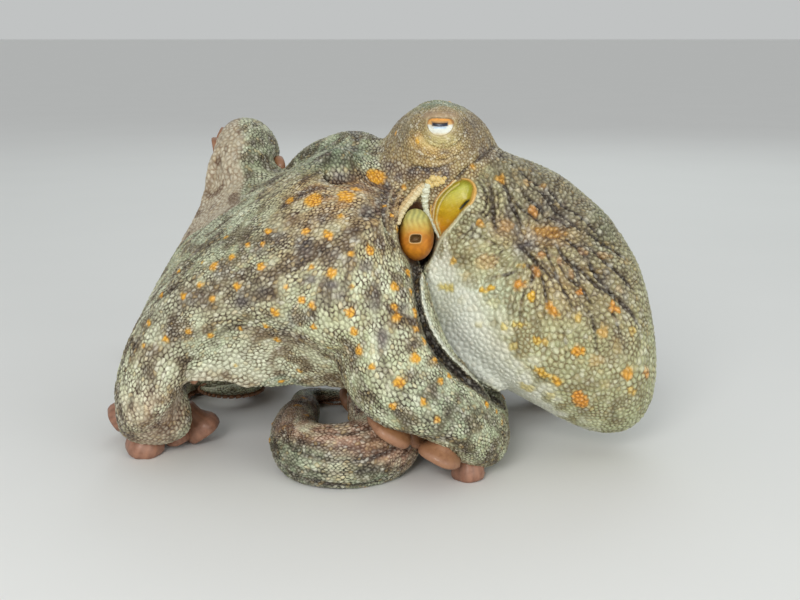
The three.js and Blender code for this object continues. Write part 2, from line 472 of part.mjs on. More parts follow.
// A sucker is a short flared cup on the arm's sucker side.
function sucker(A, x, side, r, h, g = 0) {
  const p = sample(A.q, A.s, x), O = unit(sample(A.O, A.s, x)), S = unit(sample(A.S, A.s, x));
  const [i] = locate(A.s, x), R = A.r[i];
  const dir = unit(add(mul(O, 1), mul(S, side * 0.55)));
  const foot = add(p, add(mul(O, R * ARM_FLAT * 0.55), mul(S, side * R)));
  const tip = add(foot, mul(dir, R * ARM_FLAT * 0.42 + h + g));
  const m = loft(foot, tip, [[0, r * 0.75 + g], [0.6, r * 0.72 + g], [1, r + g]], 5);
  m.v = m.v.map(lift);
  return m;
}
const ORDER = ['L3', 'L4', 'L2', 'R4', 'L1', 'R3', 'R1', 'R2'];
for (const name of ORDER) {
  const cups = [], A = C[name], cuts = [SHOULDER, ...ARMS[name].cuts, A.L];
  for (let k = 0; k + 1 < cuts.length; k++) {
    const s0 = cuts[k] + (k ? GAP / 2 : 0), s1 = cuts[k + 1] - (k + 2 < cuts.length ? GAP / 2 : 0);
    const mesh = armSolid(A, s0, s1);
    let man = solid(mesh);
    for (const [arm, from, to, step, side, r, h] of SUCKERS) {
      if (arm !== name) continue;
      let n = 0;
      for (let x = from; x <= to; x += step / 2, n++) {
        if (x - r < s0 || x + r > s1) continue;
        man = man.add(solid(sucker(A, x, n % 2 ? -side : side, r, h)));
        cups.push(sucker(A, x, n % 2 ? -side : side, r, h, GAP * 1.4));
      }
    }
    const box = boxOf(mesh); box[0] = sub(box[0], [9, 9, 9]); box[1] = add(box[1], [9, 9, 9]);
    for (const t of taken) if (t.name !== name && near(box, t.box)) man = man.subtract(t.man);
    addPart('arm_' + name + '_' + (k + 1), largest(man), SKIN());
    reserve(name, armRoom(A, s0, s1, GAP * 1.35));
    while (cups.length) reserve(name, cups.pop());
  }
}

// ------------------------------------------------------------------ webs
for (const w of WEBS) {
  const A = C[w.a], B = C[w.b];
  const sense = (X, Y, ra, rb) => {
    let t = 0;
    for (let k = 1; k <= 10; k++) { const x = (k / 10) * ra, y = (k / 10) * rb; t += dot(sub(sample(Y.q, Y.s, y), sample(X.q, X.s, x)), sample(X.S, X.s, x)); }
    return Math.sign(t);
  };
  w.sideA = sense(A, B, w.reach[0], w.reach[1]);
  w.sideB = sense(B, A, w.reach[1], w.reach[0]);
  const web = webSolid(w, C), box = boxOf(web);
  let man = web.man;
  for (const t of taken) if (near(box, t.box)) man = man.subtract(t.man);
  addPart('web_' + w.a + '_' + w.b, largest(man), WEB_SKIN());
  reserve('web_' + w.a + '_' + w.b, webSolid(w, C, GAP));
}

export default animal;
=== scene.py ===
import bpy, math, time
import numpy as np
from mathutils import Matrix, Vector, kdtree, noise
from mathutils.bvhtree import BVHTree


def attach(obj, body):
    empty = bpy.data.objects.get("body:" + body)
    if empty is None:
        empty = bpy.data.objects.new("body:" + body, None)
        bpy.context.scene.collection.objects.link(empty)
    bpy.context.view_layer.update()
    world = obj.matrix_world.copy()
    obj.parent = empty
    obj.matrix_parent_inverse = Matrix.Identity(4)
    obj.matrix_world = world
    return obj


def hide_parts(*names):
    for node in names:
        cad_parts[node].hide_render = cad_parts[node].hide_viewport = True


T_START = time.time()
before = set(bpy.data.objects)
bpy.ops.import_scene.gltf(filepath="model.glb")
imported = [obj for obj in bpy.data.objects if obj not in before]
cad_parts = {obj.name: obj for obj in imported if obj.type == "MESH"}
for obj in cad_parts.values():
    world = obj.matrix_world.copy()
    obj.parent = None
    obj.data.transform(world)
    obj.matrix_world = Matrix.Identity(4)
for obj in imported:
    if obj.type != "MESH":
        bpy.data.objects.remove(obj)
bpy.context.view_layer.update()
RNG = np.random.default_rng(20411)

# ====================================================================== sizes, in mm
# Design frame: X to the rear of the mantle, Y away from the viewer, Z up, floor at 0.
ORIGIN = np.array([-15.82, 87.49, 0.0])      # the row's origin in the design frame
MANTLE_LENGTH, MANTLE_WIDTH, MANTLE_DEPTH = 156.0, 96.0, 102.0
MANTLE_CENTRE = np.array([71.2, 0.0, 80.4])
MANTLE_TILT = (0.58, -0.815)
MANTLE_FORM = [0.9751, -0.0171, -0.0187, 0.0193, 0.0131, 0.0477, 0.0165, 0.0281, -0.0207]
HEAD_CENTRE, HEAD_RADII = (19.5, 0, 146), (29, 29, 29.5)
EYE_MOUND_RADII = (18.5, 15, 16)
EYE_MOUND = (18.5, 19, 159.5)
CROWN_CENTRE, CROWN_RADII = (-2, 2, 124), (27, 27, 26)
WEB_THICKNESS = 3.0
WEB_START = 0.2
TENT_MIDDLE = np.array([-40.0, 10.0, 30.0])
ARMS = {
  'L1': dict(R=18.5, taper=2, way=[[-29, -6, 130], [-18, 10, 146], [-31, 28, 141], [-46, 52, 128], [-57, 74, 102], [-64, 92, 68], [-70, 108, 34], [-75, 130, 15], [-80, 154, 12], [-80, 180, 11]], curl=[160, -1, 28, 8]),
  'L2': dict(R=19.5, taper=2, way=[[-20, -18, 123], [-25, -6, 139], [-42, 10, 128], [-59, 26, 118], [-73, 40, 121], [-81, 52, 136], [-83, 68, 149], [-87, 86, 141], [-98, 102, 108], [-108, 118, 62], [-116, 138, 28], [-124, 162, 14], [-122, 190, 12]], curl=[160, 1, 28, 8]),
  'L3': dict(R=21, taper=2.4, way=[[-6, -18, 113], [-25, -36, 122], [-51, -40, 106], [-82, -36, 89], [-108, -28, 65], [-119, -30, 40], [-121, -21, 24], [-124, -2, 18], [-128, 26, 14], [-133, 54, 12], [-132, 82, 10]], curl=[140, -1, 28, 9]),
  'L4': dict(R=24, taper=2, way=[[3, -6, 106], [-15, -28, 114], [-11, -40, 91], [-3, -50, 67], [8, -53, 48], [23, -49, 33], [32, -38, 22], [35, -10, 17], [38, 12, 14], [37, 36, 13], [34, 60, 12], [27, 82, 11]], curl=[135, 1, 26, 7]),
  'R4': dict(R=19.5, taper=2.2, way=[[3, 10, 106], [-14, 24, 84], [-15, 26, 58], [-12, 17, 35], [-8, 0, 20], [-6, -20, 16], [-9, -40, 15], [-20, -54, 14], [-34, -54, 12.5], [-45, -43, 11], [-50, -26, 10], [-53, -4, 9], [-54, 18, 7.5], [-52, 42, 6], [-55, 66, 5]], curl=[75, -1, 16, 5]),
  'R3': dict(R=18.5, taper=2, way=[[-6, 22, 113], [6, 50, 94], [32, 64, 68], [58, 72, 40], [80, 76, 20], [102, 80, 14], [121, 91, 12], [131, 112, 11]], curl=[165, 1, 29, 7]),
  'R2': dict(R=18.5, taper=2, way=[[-20, 22, 123], [-2, 58, 112], [14, 84, 88], [28, 104, 54], [42, 124, 25], [56, 148, 14], [72, 172, 12], [84, 196, 11]], curl=[170, -1, 29, 8]),
  'R1': dict(R=18.5, taper=2, way=[[-29, 10, 130], [-26, 48, 128], [-24, 74, 108], [-19, 94, 76], [-12, 112, 40], [0, 132, 17], [14, 156, 12], [17, 184, 12], [10, 212, 11]], curl=[150, -1, 27, 8]),
}
TWIST = {
  'L2': [(105, None), (150, (-0.9, -0.2, 0.1)), (215, (-0.8, 0.2, 0.2)), (300, None)],
  'R4': [(110, None), (150, (-0.1, 0.95, -0.2)), (250, (-0.1, 0.95, -0.2)), (290, None)],
  'L4': [(95, None), (125, (-0.6, -0.15, -0.75)), (185, (-0.45, -0.2, -0.85)), (215, None)],
}
WEBS = [
  dict(a='L3', b='L4', reach=(158, 174), mid=0.87, arch=0.8, swell=12, join=(0.2, 0.98, 0.2, 0.98), lean=1),
  dict(a='L2', b='L3', reach=(120, 178), mid=0.86, arch=1.1, swell=5, join=(0.45, 0.9, 0.25, 0.97), lean=1),
  dict(a='L1', b='L2', reach=(160, 135), mid=0.9, arch=1, swell=3, join=(0.5, 0.85, 0.5, 0.85), lean=1),
  dict(a='R1', b='L1', reach=(160, 160), mid=0.92, arch=1, swell=5, join=(0.5, 0.85, 0.5, 0.85), lean=1),
  dict(a='R2', b='R1', reach=(158, 162), mid=0.94, arch=1, swell=7, join=(0.5, 0.85, 0.5, 0.85), lean=1),
  dict(a='R3', b='R2', reach=(140, 155), mid=0.94, arch=1, swell=7, join=(0.5, 0.85, 0.5, 0.85), lean=1),
  dict(a='R4', b='R3', reach=(100, 125), mid=0.88, arch=1, swell=0, join=(0.5, 0.85, 0.5, 0.85), lean=1),
  dict(a='L4', b='R4', reach=(100, 100), mid=0.85, arch=1, swell=-2, join=(0.5, 0.85, 0.5, 0.85), lean=1),
]

# the viewer: design-frame camera used both for the camera object and to place features
CAM_EL, CAM_DIST, CAM_F, CAM_Z = math.radians(12.0), 620.0, 1240.0, 77.3
C_FWD = np.array([0, math.cos(CAM_EL), -math.sin(CAM_EL)])
C_UP = np.array([0, math.sin(CAM_EL), math.cos(CAM_EL)])
C_POS = np.array([0, 0, CAM_Z]) - CAM_DIST * C_FWD
def at(x, y, depth):
    """design-frame point that shows at image place x, y (of 800 x 600) with design Y = depth"""
    d = C_FWD + np.array([1.0, 0, 0]) * (x - 400) / CAM_F + C_UP * (300 - y) / CAM_F
    return C_POS + d * ((depth - C_POS[1]) / d[1])
def project(P):
    D = P - C_POS
    z = D @ C_FWD
    return 400 + CAM_F * D[:, 0] / z, 300 - CAM_F * (D @ C_UP) / z

# ====================================================================== small tools
def unit(a):
    a = np.asarray(a, float)
    n = np.linalg.norm(a, axis=-1, keepdims=True)
    return a / np.where(n < 1e-12, 1, n)
def smooth(a, b, x):
    t = np.clip((np.asarray(x, float) - a) / (b - a), 0, 1)
    return t * t * (3 - 2 * t)
def arcs(q):
    return np.concatenate([[0], np.cumsum(np.linalg.norm(np.diff(q, axis=0), axis=1))])
def sample(q, s, x):
    x = np.atleast_1d(np.asarray(x, float))
    return np.stack([np.interp(x, s, q[:, k]) for k in range(q.shape[1])], -1)
def relax(q, rounds):
    q = q.copy()
    for _ in range(rounds):
        q[1:-1] = 0.5 * q[1:-1] + 0.25 * (q[:-2] + q[2:])
    return q
def even(q, step, rounds):
    s = arcs(q); L = s[-1]
    n = max(8, int(math.floor(L / step + 0.5)))
    return relax(sample(q, s, L * np.arange(n + 1) / n), rounds)
def curve_through(pts, steps=24):
    pts = np.asarray(pts, float)
    p = np.vstack([2 * pts[0] - pts[1], pts, 2 * pts[-1] - pts[-2]])
    out = []
    for i in range(1, len(p) - 2):
        a, b, c, d = p[i - 1:i + 3]
        t1 = math.sqrt(np.linalg.norm(b - a)); t2 = t1 + math.sqrt(np.linalg.norm(c - b)); t3 = t2 + math.sqrt(np.linalg.norm(d - c))
        t = (t1 + (t2 - t1) * np.arange(steps) / steps)[:, None]
        A1 = a + (b - a) * t / t1; A2 = b + (c - b) * (t - t1) / (t2 - t1); A3 = c + (d - c) * (t - t2) / (t3 - t2)
        B1 = A1 + (A2 - A1) * t / t2; B2 = A2 + (A3 - A2) * (t - t1) / (t3 - t1)
        out.append(B1 + (B2 - B1) * (t - t1) / (t2 - t1))
    out.append(pts[-1:])
    return np.vstack(out)

# ====================================================================== arms
def round_off(q, r, first=18, rounds=140, limit=0.86):
    for _ in range(rounds):
        L = np.linalg.norm(q[2:] - q[:-2], axis=1) / 2
        t = np.zeros(len(q))
        t[1:-1] = np.linalg.norm(q[2:] - 2 * q[1:-1] + q[:-2], axis=1) / L ** 2 * r[1:-1]
        t[:first] = 0
        w = (t > limit).astype(float)
        if w.max() == 0: break
        for _k in range(6):
            c = w.copy()
            w[1:] = np.maximum(w[1:], 0.9 * c[:-1]); w[:-1] = np.maximum(w[:-1], 0.9 * c[1:])
        w = np.where(t <= 0, 0, w)
        p = q.copy()
        q[1:-1] += w[1:-1, None] * (0.5 * p[1:-1] + 0.25 * (p[:-2] + p[2:]) - p[1:-1])
        q[1:-1, 2] = np.maximum(q[1:-1, 2], 0.8 * r[1:-1])
    return q
def make_arm(name):
    A = ARMS[name]; R, taper = A['R'], A['taper']
    q = curve_through(A['way'])
    Lt, sense, p0, p1 = A['curl']; turns = 2 * Lt / (p0 + p1)
    h = q[-1] - q[-2]; heading = math.atan2(h[1], h[0]); p = q[-1].copy(); th = 0.0; extra = []
    for _ in range(Lt):
        dth = 1 / (p0 + (p1 - p0) * th / turns)
        th += dth; heading += sense * dth
        p = p + np.array([math.cos(heading), math.sin(heading), 0]); extra.append(p)
    q = np.vstack([q, extra])
    q = even(even(q, 2, 10), 2, 10)
    s = arcs(q); L = s[-1]
    r = np.maximum(1.3, R * (1 - (s / L) ** taper) * (0.8 + 0.2 * np.clip(s / 60, 0, 1)))
    w = np.where(s > 60, 1 - smooth(0, 1, (q[:, 2] - r) / (0.5 * r)), 0)
    z = np.maximum(q[:, 2] * (1 - w) + w * 0.8 * r, 0.8 * r)
    for _ in range(8): z[1:-1] = 0.5 * z[1:-1] + 0.25 * (z[:-2] + z[2:])
    q[:, 2] = z
    q = round_off(q, r)
    s = arcs(q); L = s[-1]
    T = unit(np.vstack([q[1:2] - q[:1], q[2:] - q[:-2], q[-1:] - q[-2:-1]]))
    t = TENT_MIDDLE - q; t[:, 2] *= 0.6
    k = smooth(14, 60, q[:, 2])[:, None]
    O = np.array([0, 0, -1.0]) * (1 - k) + unit(t) * k
    keys = TWIST.get(name)
    if keys:
        O0 = O.copy()
        for (s0, v0), (s1, v1) in zip(keys[:-1], keys[1:]):
            m = (s >= s0) & (s < s1); x = smooth(s0, s1, s[m])[:, None]
            O[m] = (np.array(v0) if v0 else O0[m]) * (1 - x) + (np.array(v1) if v1 else O0[m]) * x
    square = lambda o: unit(o - (o * T).sum(1)[:, None] * T)
    O = square(O)
    for _ in range(12):
        O[1:-1] = 0.5 * O[1:-1] + 0.25 * (O[:-2] + O[2:]); O = square(O)
    return dict(q=q, s=s, r=r, T=T, O=O, S=np.cross(T, O), L=L, name=name)
ARM = {n: make_arm(n) for n in ARMS}
# the near arm beside the mantle is fuller where the web ends on it
full = np.exp(-((ARM['L4']['s'] - 92) / 30) ** 2)
ARM['L4']['q'] = ARM['L4']['q'] + np.array([-0.8, 0, -0.6]) * (3.8 * full)[:, None]
ARM['L4']['r'] = ARM['L4']['r'] * (1 + 0.17 * full)

# ====================================================================== closed base forms
class Solids:
    """gathers closed shapes as one vertex and face list"""
    def __init__(self): self.v, self.f, self.n = [], [], 0
    def add(self, v, f):
        self.v.append(np.asarray(v, float)); self.f += [[i + self.n for i in t] for t in f]; self.n += len(v)
def tube(q, r, O, S, n=28, flat=0.82, wide=1.03):
    a = 2 * math.pi * np.arange(n) / n; c, d = np.cos(a), np.sin(a)
    flat = np.broadcast_to(flat, (len(q),)); r = np.broadcast_to(r, (len(q),))
    V = q[:, None] + r[:, None, None] * (c[None, :, None] * S[:, None] * wide - np.where(d[None] > 0, d[None], d[None] * flat[:, None])[..., None] * O[:, None])
    V = V.reshape(-1, 3); m = len(q); F = []
    for i in range(m - 1):
        for k in range(n):
            j = (k + 1) % n
            F.append([i * n + k, i * n + j, (i + 1) * n + j, (i + 1) * n + k])
    e = len(V)
    V = np.vstack([V, q[0] - unit(q[1] - q[0]) * r[0] * 0.4, q[-1] + unit(q[-1] - q[-2]) * r[-1] * 0.7])
    for k in range(n):
        j = (k + 1) % n
        F.append([e, j, k]); F.append([e + 1, (m - 1) * n + k, (m - 1) * n + j])
    return V, F
def line_tube(pts, radii, n=12, step=1.0, flat=1.0):
    """round tube through a few points, with radii given at those points"""
    q = curve_through(pts, 12); s = arcs(q)
    way = np.interp(np.arange(len(pts)), np.arange(len(q)) / 12.0, s)
    x = np.linspace(0, s[-1], max(6, int(s[-1] / step)))
    r = np.interp(x, way, radii); q = sample(q, s, x)
    T = unit(np.gradient(q, axis=0)); U = unit(np.cross(T, np.array([0.1, 1, 0.05]))); W = np.cross(T, U)
    return tube(q, r, W, U, n, flat, 1.0)
def ellipsoid(c, ax, rad, nu=64, nv=44, form=None):
    u = 2 * math.pi * np.arange(nu) / nu; b = math.pi * np.arange(1, nv) / nv
    B, U = np.meshgrid(b, u, indexing='ij')
    d = np.stack([np.cos(B), np.sin(B) * np.cos(U), np.sin(B) * np.sin(U)], -1).reshape(-1, 3)
    d = np.vstack([d, [1, 0, 0], [-1, 0, 0]])
    m = form(d)[:, None] if form else np.ones((len(d), 1))
    p = d * np.array(rad) * np.hstack([m, np.ones_like(m), m])
    V = np.array(c, float) + p @ np.array(ax, float); F = []
    for i in range(nv - 2):
        for j in range(nu):
            k = (j + 1) % nu
            F.append([i * nu + j, i * nu + k, (i + 1) * nu + k, (i + 1) * nu + j][::-1])
    N, E = (nv - 1) * nu, (nv - 2) * nu
    for j in range(nu):
        k = (j + 1) % nu
        F.append([N, j, k]); F.append([N + 1, E + k, E + j])
    return V, F
XYZ = np.eye(3)
MU = unit([MANTLE_TILT[0], 0, MANTLE_TILT[1]]); MW = np.array([-MU[2], 0, MU[0]]); MV = np.cross(MW, MU)
def mantle_form(d):
    rho, phi = np.hypot(d[:, 0], d[:, 2]), np.arctan2(d[:, 2], d[:, 0])
    m = np.full(len(d), MANTLE_FORM[0])
    for k in range(1, 5): m += MANTLE_FORM[2 * k - 1] * np.cos(k * phi) + MANTLE_FORM[2 * k] * np.sin(k * phi)
    return 1 + (m - 1) * rho * rho
def web_sheet(w, nu=46, nt=46, ripple=0.0, hang=False):
    A, B = ARM[w['a']], ARM[w['b']]; sda, oua, sdb, oub = w['join']
    def sense(X, Y, ra, rb):
        k = np.arange(1, 11) / 10
        return np.sign(((sample(Y['q'], Y['s'], k * rb) - sample(X['q'], X['s'], k * ra)) * sample(X['S'], X['s'], k * ra)).sum())
    sa, sb = sense(A, B, *w['reach']), sense(B, A, *w['reach'][::-1])
    t = np.arange(nt + 1) / nt; u0 = np.arange(nu + 1) / nu
    share = 1 - (1 - w['mid']) * np.sin(math.pi * t ** w['lean']) ** w['arch']
    share = share * (1 + ripple * np.sin(math.pi * t) * (np.sin(t * 41 + 1) + 0.7 * np.sin(t * 73 + 2.2)))
    if hang: share = share * (1.035 + 0.058 * np.exp(-((t - 0.37) / 0.15) ** 2) + 0.13 * np.exp(-((t - 0.90) / 0.14) ** 2) + 0.006 * np.sin(t * 38))
    U = (WEB_START + (1 - WEB_START) * u0)[:, None] * share[None]
    def edge(X, xs, other, sd, ou):
        sh = xs.shape; x = xs.ravel()
        p, O, S = sample(X['q'], X['s'], x), unit(sample(X['O'], X['s'], x)), unit(sample(X['S'], X['s'], x))
        r = np.interp(x, X['s'], X['r'])[:, None]
        return (p + (S * sd * other - O * ou) * r).reshape(*sh, 3), (-O).reshape(*sh, 3)
    pa, na = edge(A, U * w['reach'][0], sa, sda, oua); pb, nb = edge(B, U * w['reach'][1], sb, sdb, oub)
    tt = t[None, :, None]
    W = pa * (1 - tt) + pb * tt; N = na * (1 - tt) + nb * tt
    G = unit(np.cross(np.gradient(W, axis=0), np.gradient(W, axis=1)))
    G *= np.sign((G * N).sum())
    G[0] = G[1]
    W = W + G * (w['swell'] * np.sin(math.pi * t)[None] * np.sin(math.pi * np.clip(U * 0.75 + 0.12, 0, 1)))[..., None]
    return W, G
def slab(W, G, thick):
    nu, nt = W.shape[0] - 1, W.shape[1] - 1
    top, bot = W.reshape(-1, 3).copy(), (W - G * thick).reshape(-1, 3)
    top[:, 2] = np.maximum(top[:, 2], 0); bot[:, 2] = np.maximum(bot[:, 2], 0)
    V = np.vstack([top, bot]); n = len(top); F = []
    idx = lambda i, j: i * (nt + 1) + j
    flip = np.dot(np.cross(W[nu // 2 + 1, nt // 2] - W[nu // 2, nt // 2], W[nu // 2, nt // 2 + 1] - W[nu // 2, nt // 2]), G[nu // 2, nt // 2]) < 0
    for i in range(nu):
        for j in range(nt):
            a = [idx(i, j), idx(i + 1, j), idx(i + 1, j + 1), idx(i, j + 1)]
            F.append(a); F.append([x + n for x in a[::-1]])
    rim = [idx(0, j) for j in range(nt)] + [idx(i, nt) for i in range(nu)] + [idx(nu, j) for j in range(nt, 0, -1)] + [idx(i, 0) for i in range(nu, 0, -1)]
    for a, b in zip(rim, rim[1:] + rim[:1]): F.append([a, b, b + n, a + n])
    if flip: F = [f[::-1] for f in F]
    return V, F

def to_row(V):
    return (np.asarray(V, float) - ORIGIN) / 1000.0
def mesh_object(name, V, F, in_row=False):
    me = bpy.data.meshes.new(name)
    V = V if in_row else to_row(V)
    me.from_pydata([tuple(p) for p in V], [], F)
    me.validate(); me.update()
    o = bpy.data.objects.new(name, me)
    bpy.context.scene.collection.objects.link(o)
    return o
def from_arrays(name, V, quads):
    """mesh of quads given as arrays, V in metres of the row frame"""
    me = bpy.data.meshes.new(name)
    me.vertices.add(len(V)); me.vertices.foreach_set("co", np.ascontiguousarray(V, np.float32).ravel())
    k = quads.shape[1]
    me.loops.add(quads.size); me.loops.foreach_set("vertex_index", np.ascontiguousarray(quads, np.int32).ravel())
    me.polygons.add(len(quads)); me.polygons.foreach_set("loop_start", np.arange(0, quads.size, k, dtype=np.int32))
    me.update(calc_edges=True)
    o = bpy.data.objects.new(name, me); bpy.context.scene.collection.objects.link(o)
    return o
def remesh(o, voxel):
    m = o.modifiers.new("r", 'REMESH'); m.mode = 'VOXEL'; m.voxel_size = voxel / 1000.0; m.adaptivity = 0
    dg = bpy.context.evaluated_depsgraph_get()
    me = bpy.data.meshes.new_from_object(o.evaluated_get(dg))
    old = o.data; o.modifiers.clear(); o.data = me; bpy.data.meshes.remove(old)
    return o
def coords(me):
    a = np.empty(len(me.vertices) * 3, np.float32); me.vertices.foreach_get("co", a)
    return a.reshape(-1, 3).astype(float)
class Net:
    """neighbour sums and normals on any polygon mesh"""
    def __init__(self, me):
        n, m, k = len(me.vertices), len(me.edges), len(me.loops)
        e = np.empty(m * 2, np.int32); me.edges.foreach_get("vertices", e); e = e.reshape(-1, 2).astype(np.int64)
        self.a, self.b, self.n = e[:, 0], e[:, 1], n
        self.lv = np.empty(k, np.int32); me.loops.foreach_get("vertex_index", self.lv)
        self.ls = np.empty(len(me.polygons), np.int32); me.polygons.foreach_get("loop_start", self.ls)
        lt = np.empty(len(me.polygons), np.int32); me.polygons.foreach_get("loop_total", lt); self.lt = lt
        self.lf = np.repeat(np.arange(len(lt)), lt)
        nxt = np.arange(1, k + 1); nxt[self.ls + lt - 1] = self.ls; self.nxt = self.lv[nxt]
        self.deg = np.bincount(self.a, minlength=n) + np.bincount(self.b, minlength=n)
    def mean(self, x):
        if x.ndim == 1: return (np.bincount(self.a, x[self.b], self.n) + np.bincount(self.b, x[self.a], self.n)) / np.maximum(self.deg, 1)
        return np.stack([self.mean(x[:, k]) for k in range(x.shape[1])], -1)
    def blur(self, x, rounds, k=0.6):
        """k may be a number or one weight for each vertex"""
        kk = k if np.ndim(k) == 0 or x.ndim == 1 else np.asarray(k)[:, None]
        for _ in range(rounds): x = x + kk * (self.mean(x) - x)
        return x
    def normals(self, V):
        c = np.cross(V[self.lv], V[self.nxt]); f = np.add.reduceat(c, self.ls, axis=0)[self.lf]
        return unit(np.stack([np.bincount(self.lv, f[:, c], self.n) for c in range(3)], -1))
    def centres(self, V):
        return np.add.reduceat(V[self.lv], self.ls, axis=0) / self.lt[:, None]
def put(me, V):
    me.vertices.foreach_set("co", np.ascontiguousarray(to_row(V), np.float32).ravel()); me.update()

# ====================================================================== image-plane tools
def outline(pts):
    return curve_through(list(pts) + [pts[0], pts[1]], 8)[:len(pts) * 8 + 1]
def inside(px, py, pts, far=14.0):
    """signed distance in px to a closed smooth outline, positive inside"""
    q = outline(pts); out = np.full(len(px), -99.0); lo, hi = q.min(0) - far, q.max(0) + far
    m = np.where((px > lo[0]) & (px < hi[0]) & (py > lo[1]) & (py < hi[1]))[0]
    if len(m) == 0: return out
    x, y = px[m], py[m]; odd = np.zeros(len(m), bool); dm = np.full(len(m), 1e9)
    for a, b in zip(q[:-1], q[1:]):
        ab = b - a; t = np.clip(((x - a[0]) * ab[0] + (y - a[1]) * ab[1]) / max(ab @ ab, 1e-9), 0, 1)
        dm = np.minimum(dm, np.hypot(x - a[0] - t * ab[0], y - a[1] - t * ab[1]))
        c = (a[1] > y) != (b[1] > y)
        dy = b[1] - a[1] if abs(b[1] - a[1]) > 1e-9 else 1e-9
        odd ^= c & (x < ab[0] * (y - a[1]) / dy + a[0])
    out[m] = np.where(odd, dm, -dm)
    return out
def stroke(px, py, line, width, ends=0.35):
    """bell of half-width `width` (one number or one per point) round a curve given in image px"""
    line = np.asarray(line, float); q = curve_through(line, 8) if len(line) > 2 else line
    wq = np.interp(np.linspace(0, 1, len(q)), np.linspace(0, 1, len(line)), np.broadcast_to(width, (len(line),)))
    W = wq.max(); lo, hi = q.min(0) - 3 * W, q.max(0) + 3 * W
    out = np.zeros(len(px)); m = np.where((px > lo[0]) & (px < hi[0]) & (py > lo[1]) & (py < hi[1]))[0]
    if len(m) == 0: return out
    x, y = px[m], py[m]; dm = np.full(len(m), 1e9); at_t = np.zeros(len(m)); n = len(q) - 1
    for i in range(n):
        a, b = q[i], q[i + 1]; ab = b - a
        t = np.clip(((x - a[0]) * ab[0] + (y - a[1]) * ab[1]) / max(ab @ ab, 1e-9), 0, 1)
        dd = np.hypot(x - a[0] - t * ab[0], y - a[1] - t * ab[1])
        k = dd < dm; dm = np.where(k, dd, dm); at_t = np.where(k, (i + t) / n, at_t)
    w = np.interp(at_t, np.linspace(0, 1, len(q)), wq)
    out[m] = np.exp(-(dm / w) ** 2) * (ends + (1 - ends) * np.sqrt(np.sin(math.pi * np.clip(at_t, 0.02, 0.98))))
    return out

# outlines and lines of the front features, as image places
PIT = [(398.5, 222), (402.5, 213), (410, 205), (417, 201), (421.5, 204), (424, 212), (428, 221), (433.5, 232), (435.5, 243), (432, 254), (426, 263), (417, 266), (408, 261), (400.5, 250), (397, 236)]
GAP = [(407, 261), (410, 272), (412, 286), (415.4, 302), (418.6, 317), (422.6, 332), (428, 347), (439, 363), (455, 378), (476, 392), (500, 409), (508, 407), (486, 390.5), (465.5, 373), (450, 357.5), (438, 342.5), (429.5, 327), (423.5, 311), (420, 292), (420.5, 276), (424, 266), (416, 262)]
MANTLE_EDGE = [(436, 248), (429, 258), (423.5, 268), (421.6, 280), (422, 293), (425.5, 311), (431.5, 326), (440, 341), (452, 356), (467.5, 371.5), (488, 389)]
LEAF = [(465, 179), (472, 182), (474, 191), (471, 203.5), (462, 211), (452, 221), (444, 231.5), (437.6, 238), (434, 228), (434, 212.5), (437.6, 200), (446.5, 189.5), (457, 182)]
EYE_D = [(427.3, 121), (428.6, 118.9), (433, 118.3), (440, 118.2), (447, 118.4), (452, 119), (454, 121.2), (453.6, 125), (451, 130.2), (446.6, 134), (440.5, 135.8), (434, 134.4), (429.6, 130.4), (427.2, 125)]
EYE_CENTRE, EYE_RADIUS = np.array([19.5, -25.5, 164.0]), 10.5

# ====================================================================== where a point lies
def lay_out(V):
    """nearest arm of each point, its place along and round it, and distances to mantle and head"""
    P, R, T, O, S, SS, ID = [], [], [], [], [], [], []
    for k, A in enumerate(ARM.values()):
        i = np.arange(1, len(A['q']), 3)
        P.append(A['q'][i]); R.append(A['r'][i]); T.append(A['T'][i]); O.append(A['O'][i]); S.append(A['S'][i]); SS.append(A['s'][i]); ID.append(np.full(len(i), k))
    P, R, T, O, S, SS, ID = (np.concatenate(x) for x in (P, R, T, O, S, SS, ID))
    near = np.empty(len(V), np.int64); pp = (P ** 2).sum(1)
    for a in range(0, len(V), 40000):
        v = V[a:a + 40000]
        d = np.sqrt(np.maximum((v ** 2).sum(1)[:, None] + pp[None] - 2 * v @ P.T, 0)) - R[None]
        near[a:a + 40000] = d.argmin(1)
    D = V - P[near]; along = (D * T[near]).sum(1)
    D -= along[:, None] * T[near]; r = R[near]
    out = dict(arm=ID[near], s=SS[near] + along, r=r, T=T[near], O=O[near], S=S[near],
               side=(D * S[near]).sum(1) / r, oral=(D * O[near]).sum(1) / r, d_arm=np.linalg.norm(D, axis=1) - r)
    L = np.stack([(V - MANTLE_CENTRE) @ MU / (MANTLE_LENGTH / 2), (V - MANTLE_CENTRE) @ MV / (MANTLE_WIDTH / 2), (V - MANTLE_CENTRE) @ MW / (MANTLE_DEPTH / 2)], 1)
    d = unit(L); m = mantle_form(d)
    out['mantle'] = L; out['d_mantle'] = (np.linalg.norm(L, axis=1) / m - 1) * 50
    out['d_head'] = np.minimum((np.linalg.norm((V - HEAD_CENTRE) / HEAD_RADII, axis=1) - 1) * 29,
        np.minimum(*[(np.linalg.norm((V - (EYE_MOUND[0], sd * EYE_MOUND[1], EYE_MOUND[2])) / EYE_MOUND_RADII, axis=1) - 1) * 16 for sd in (-1, 1)]))
    return out

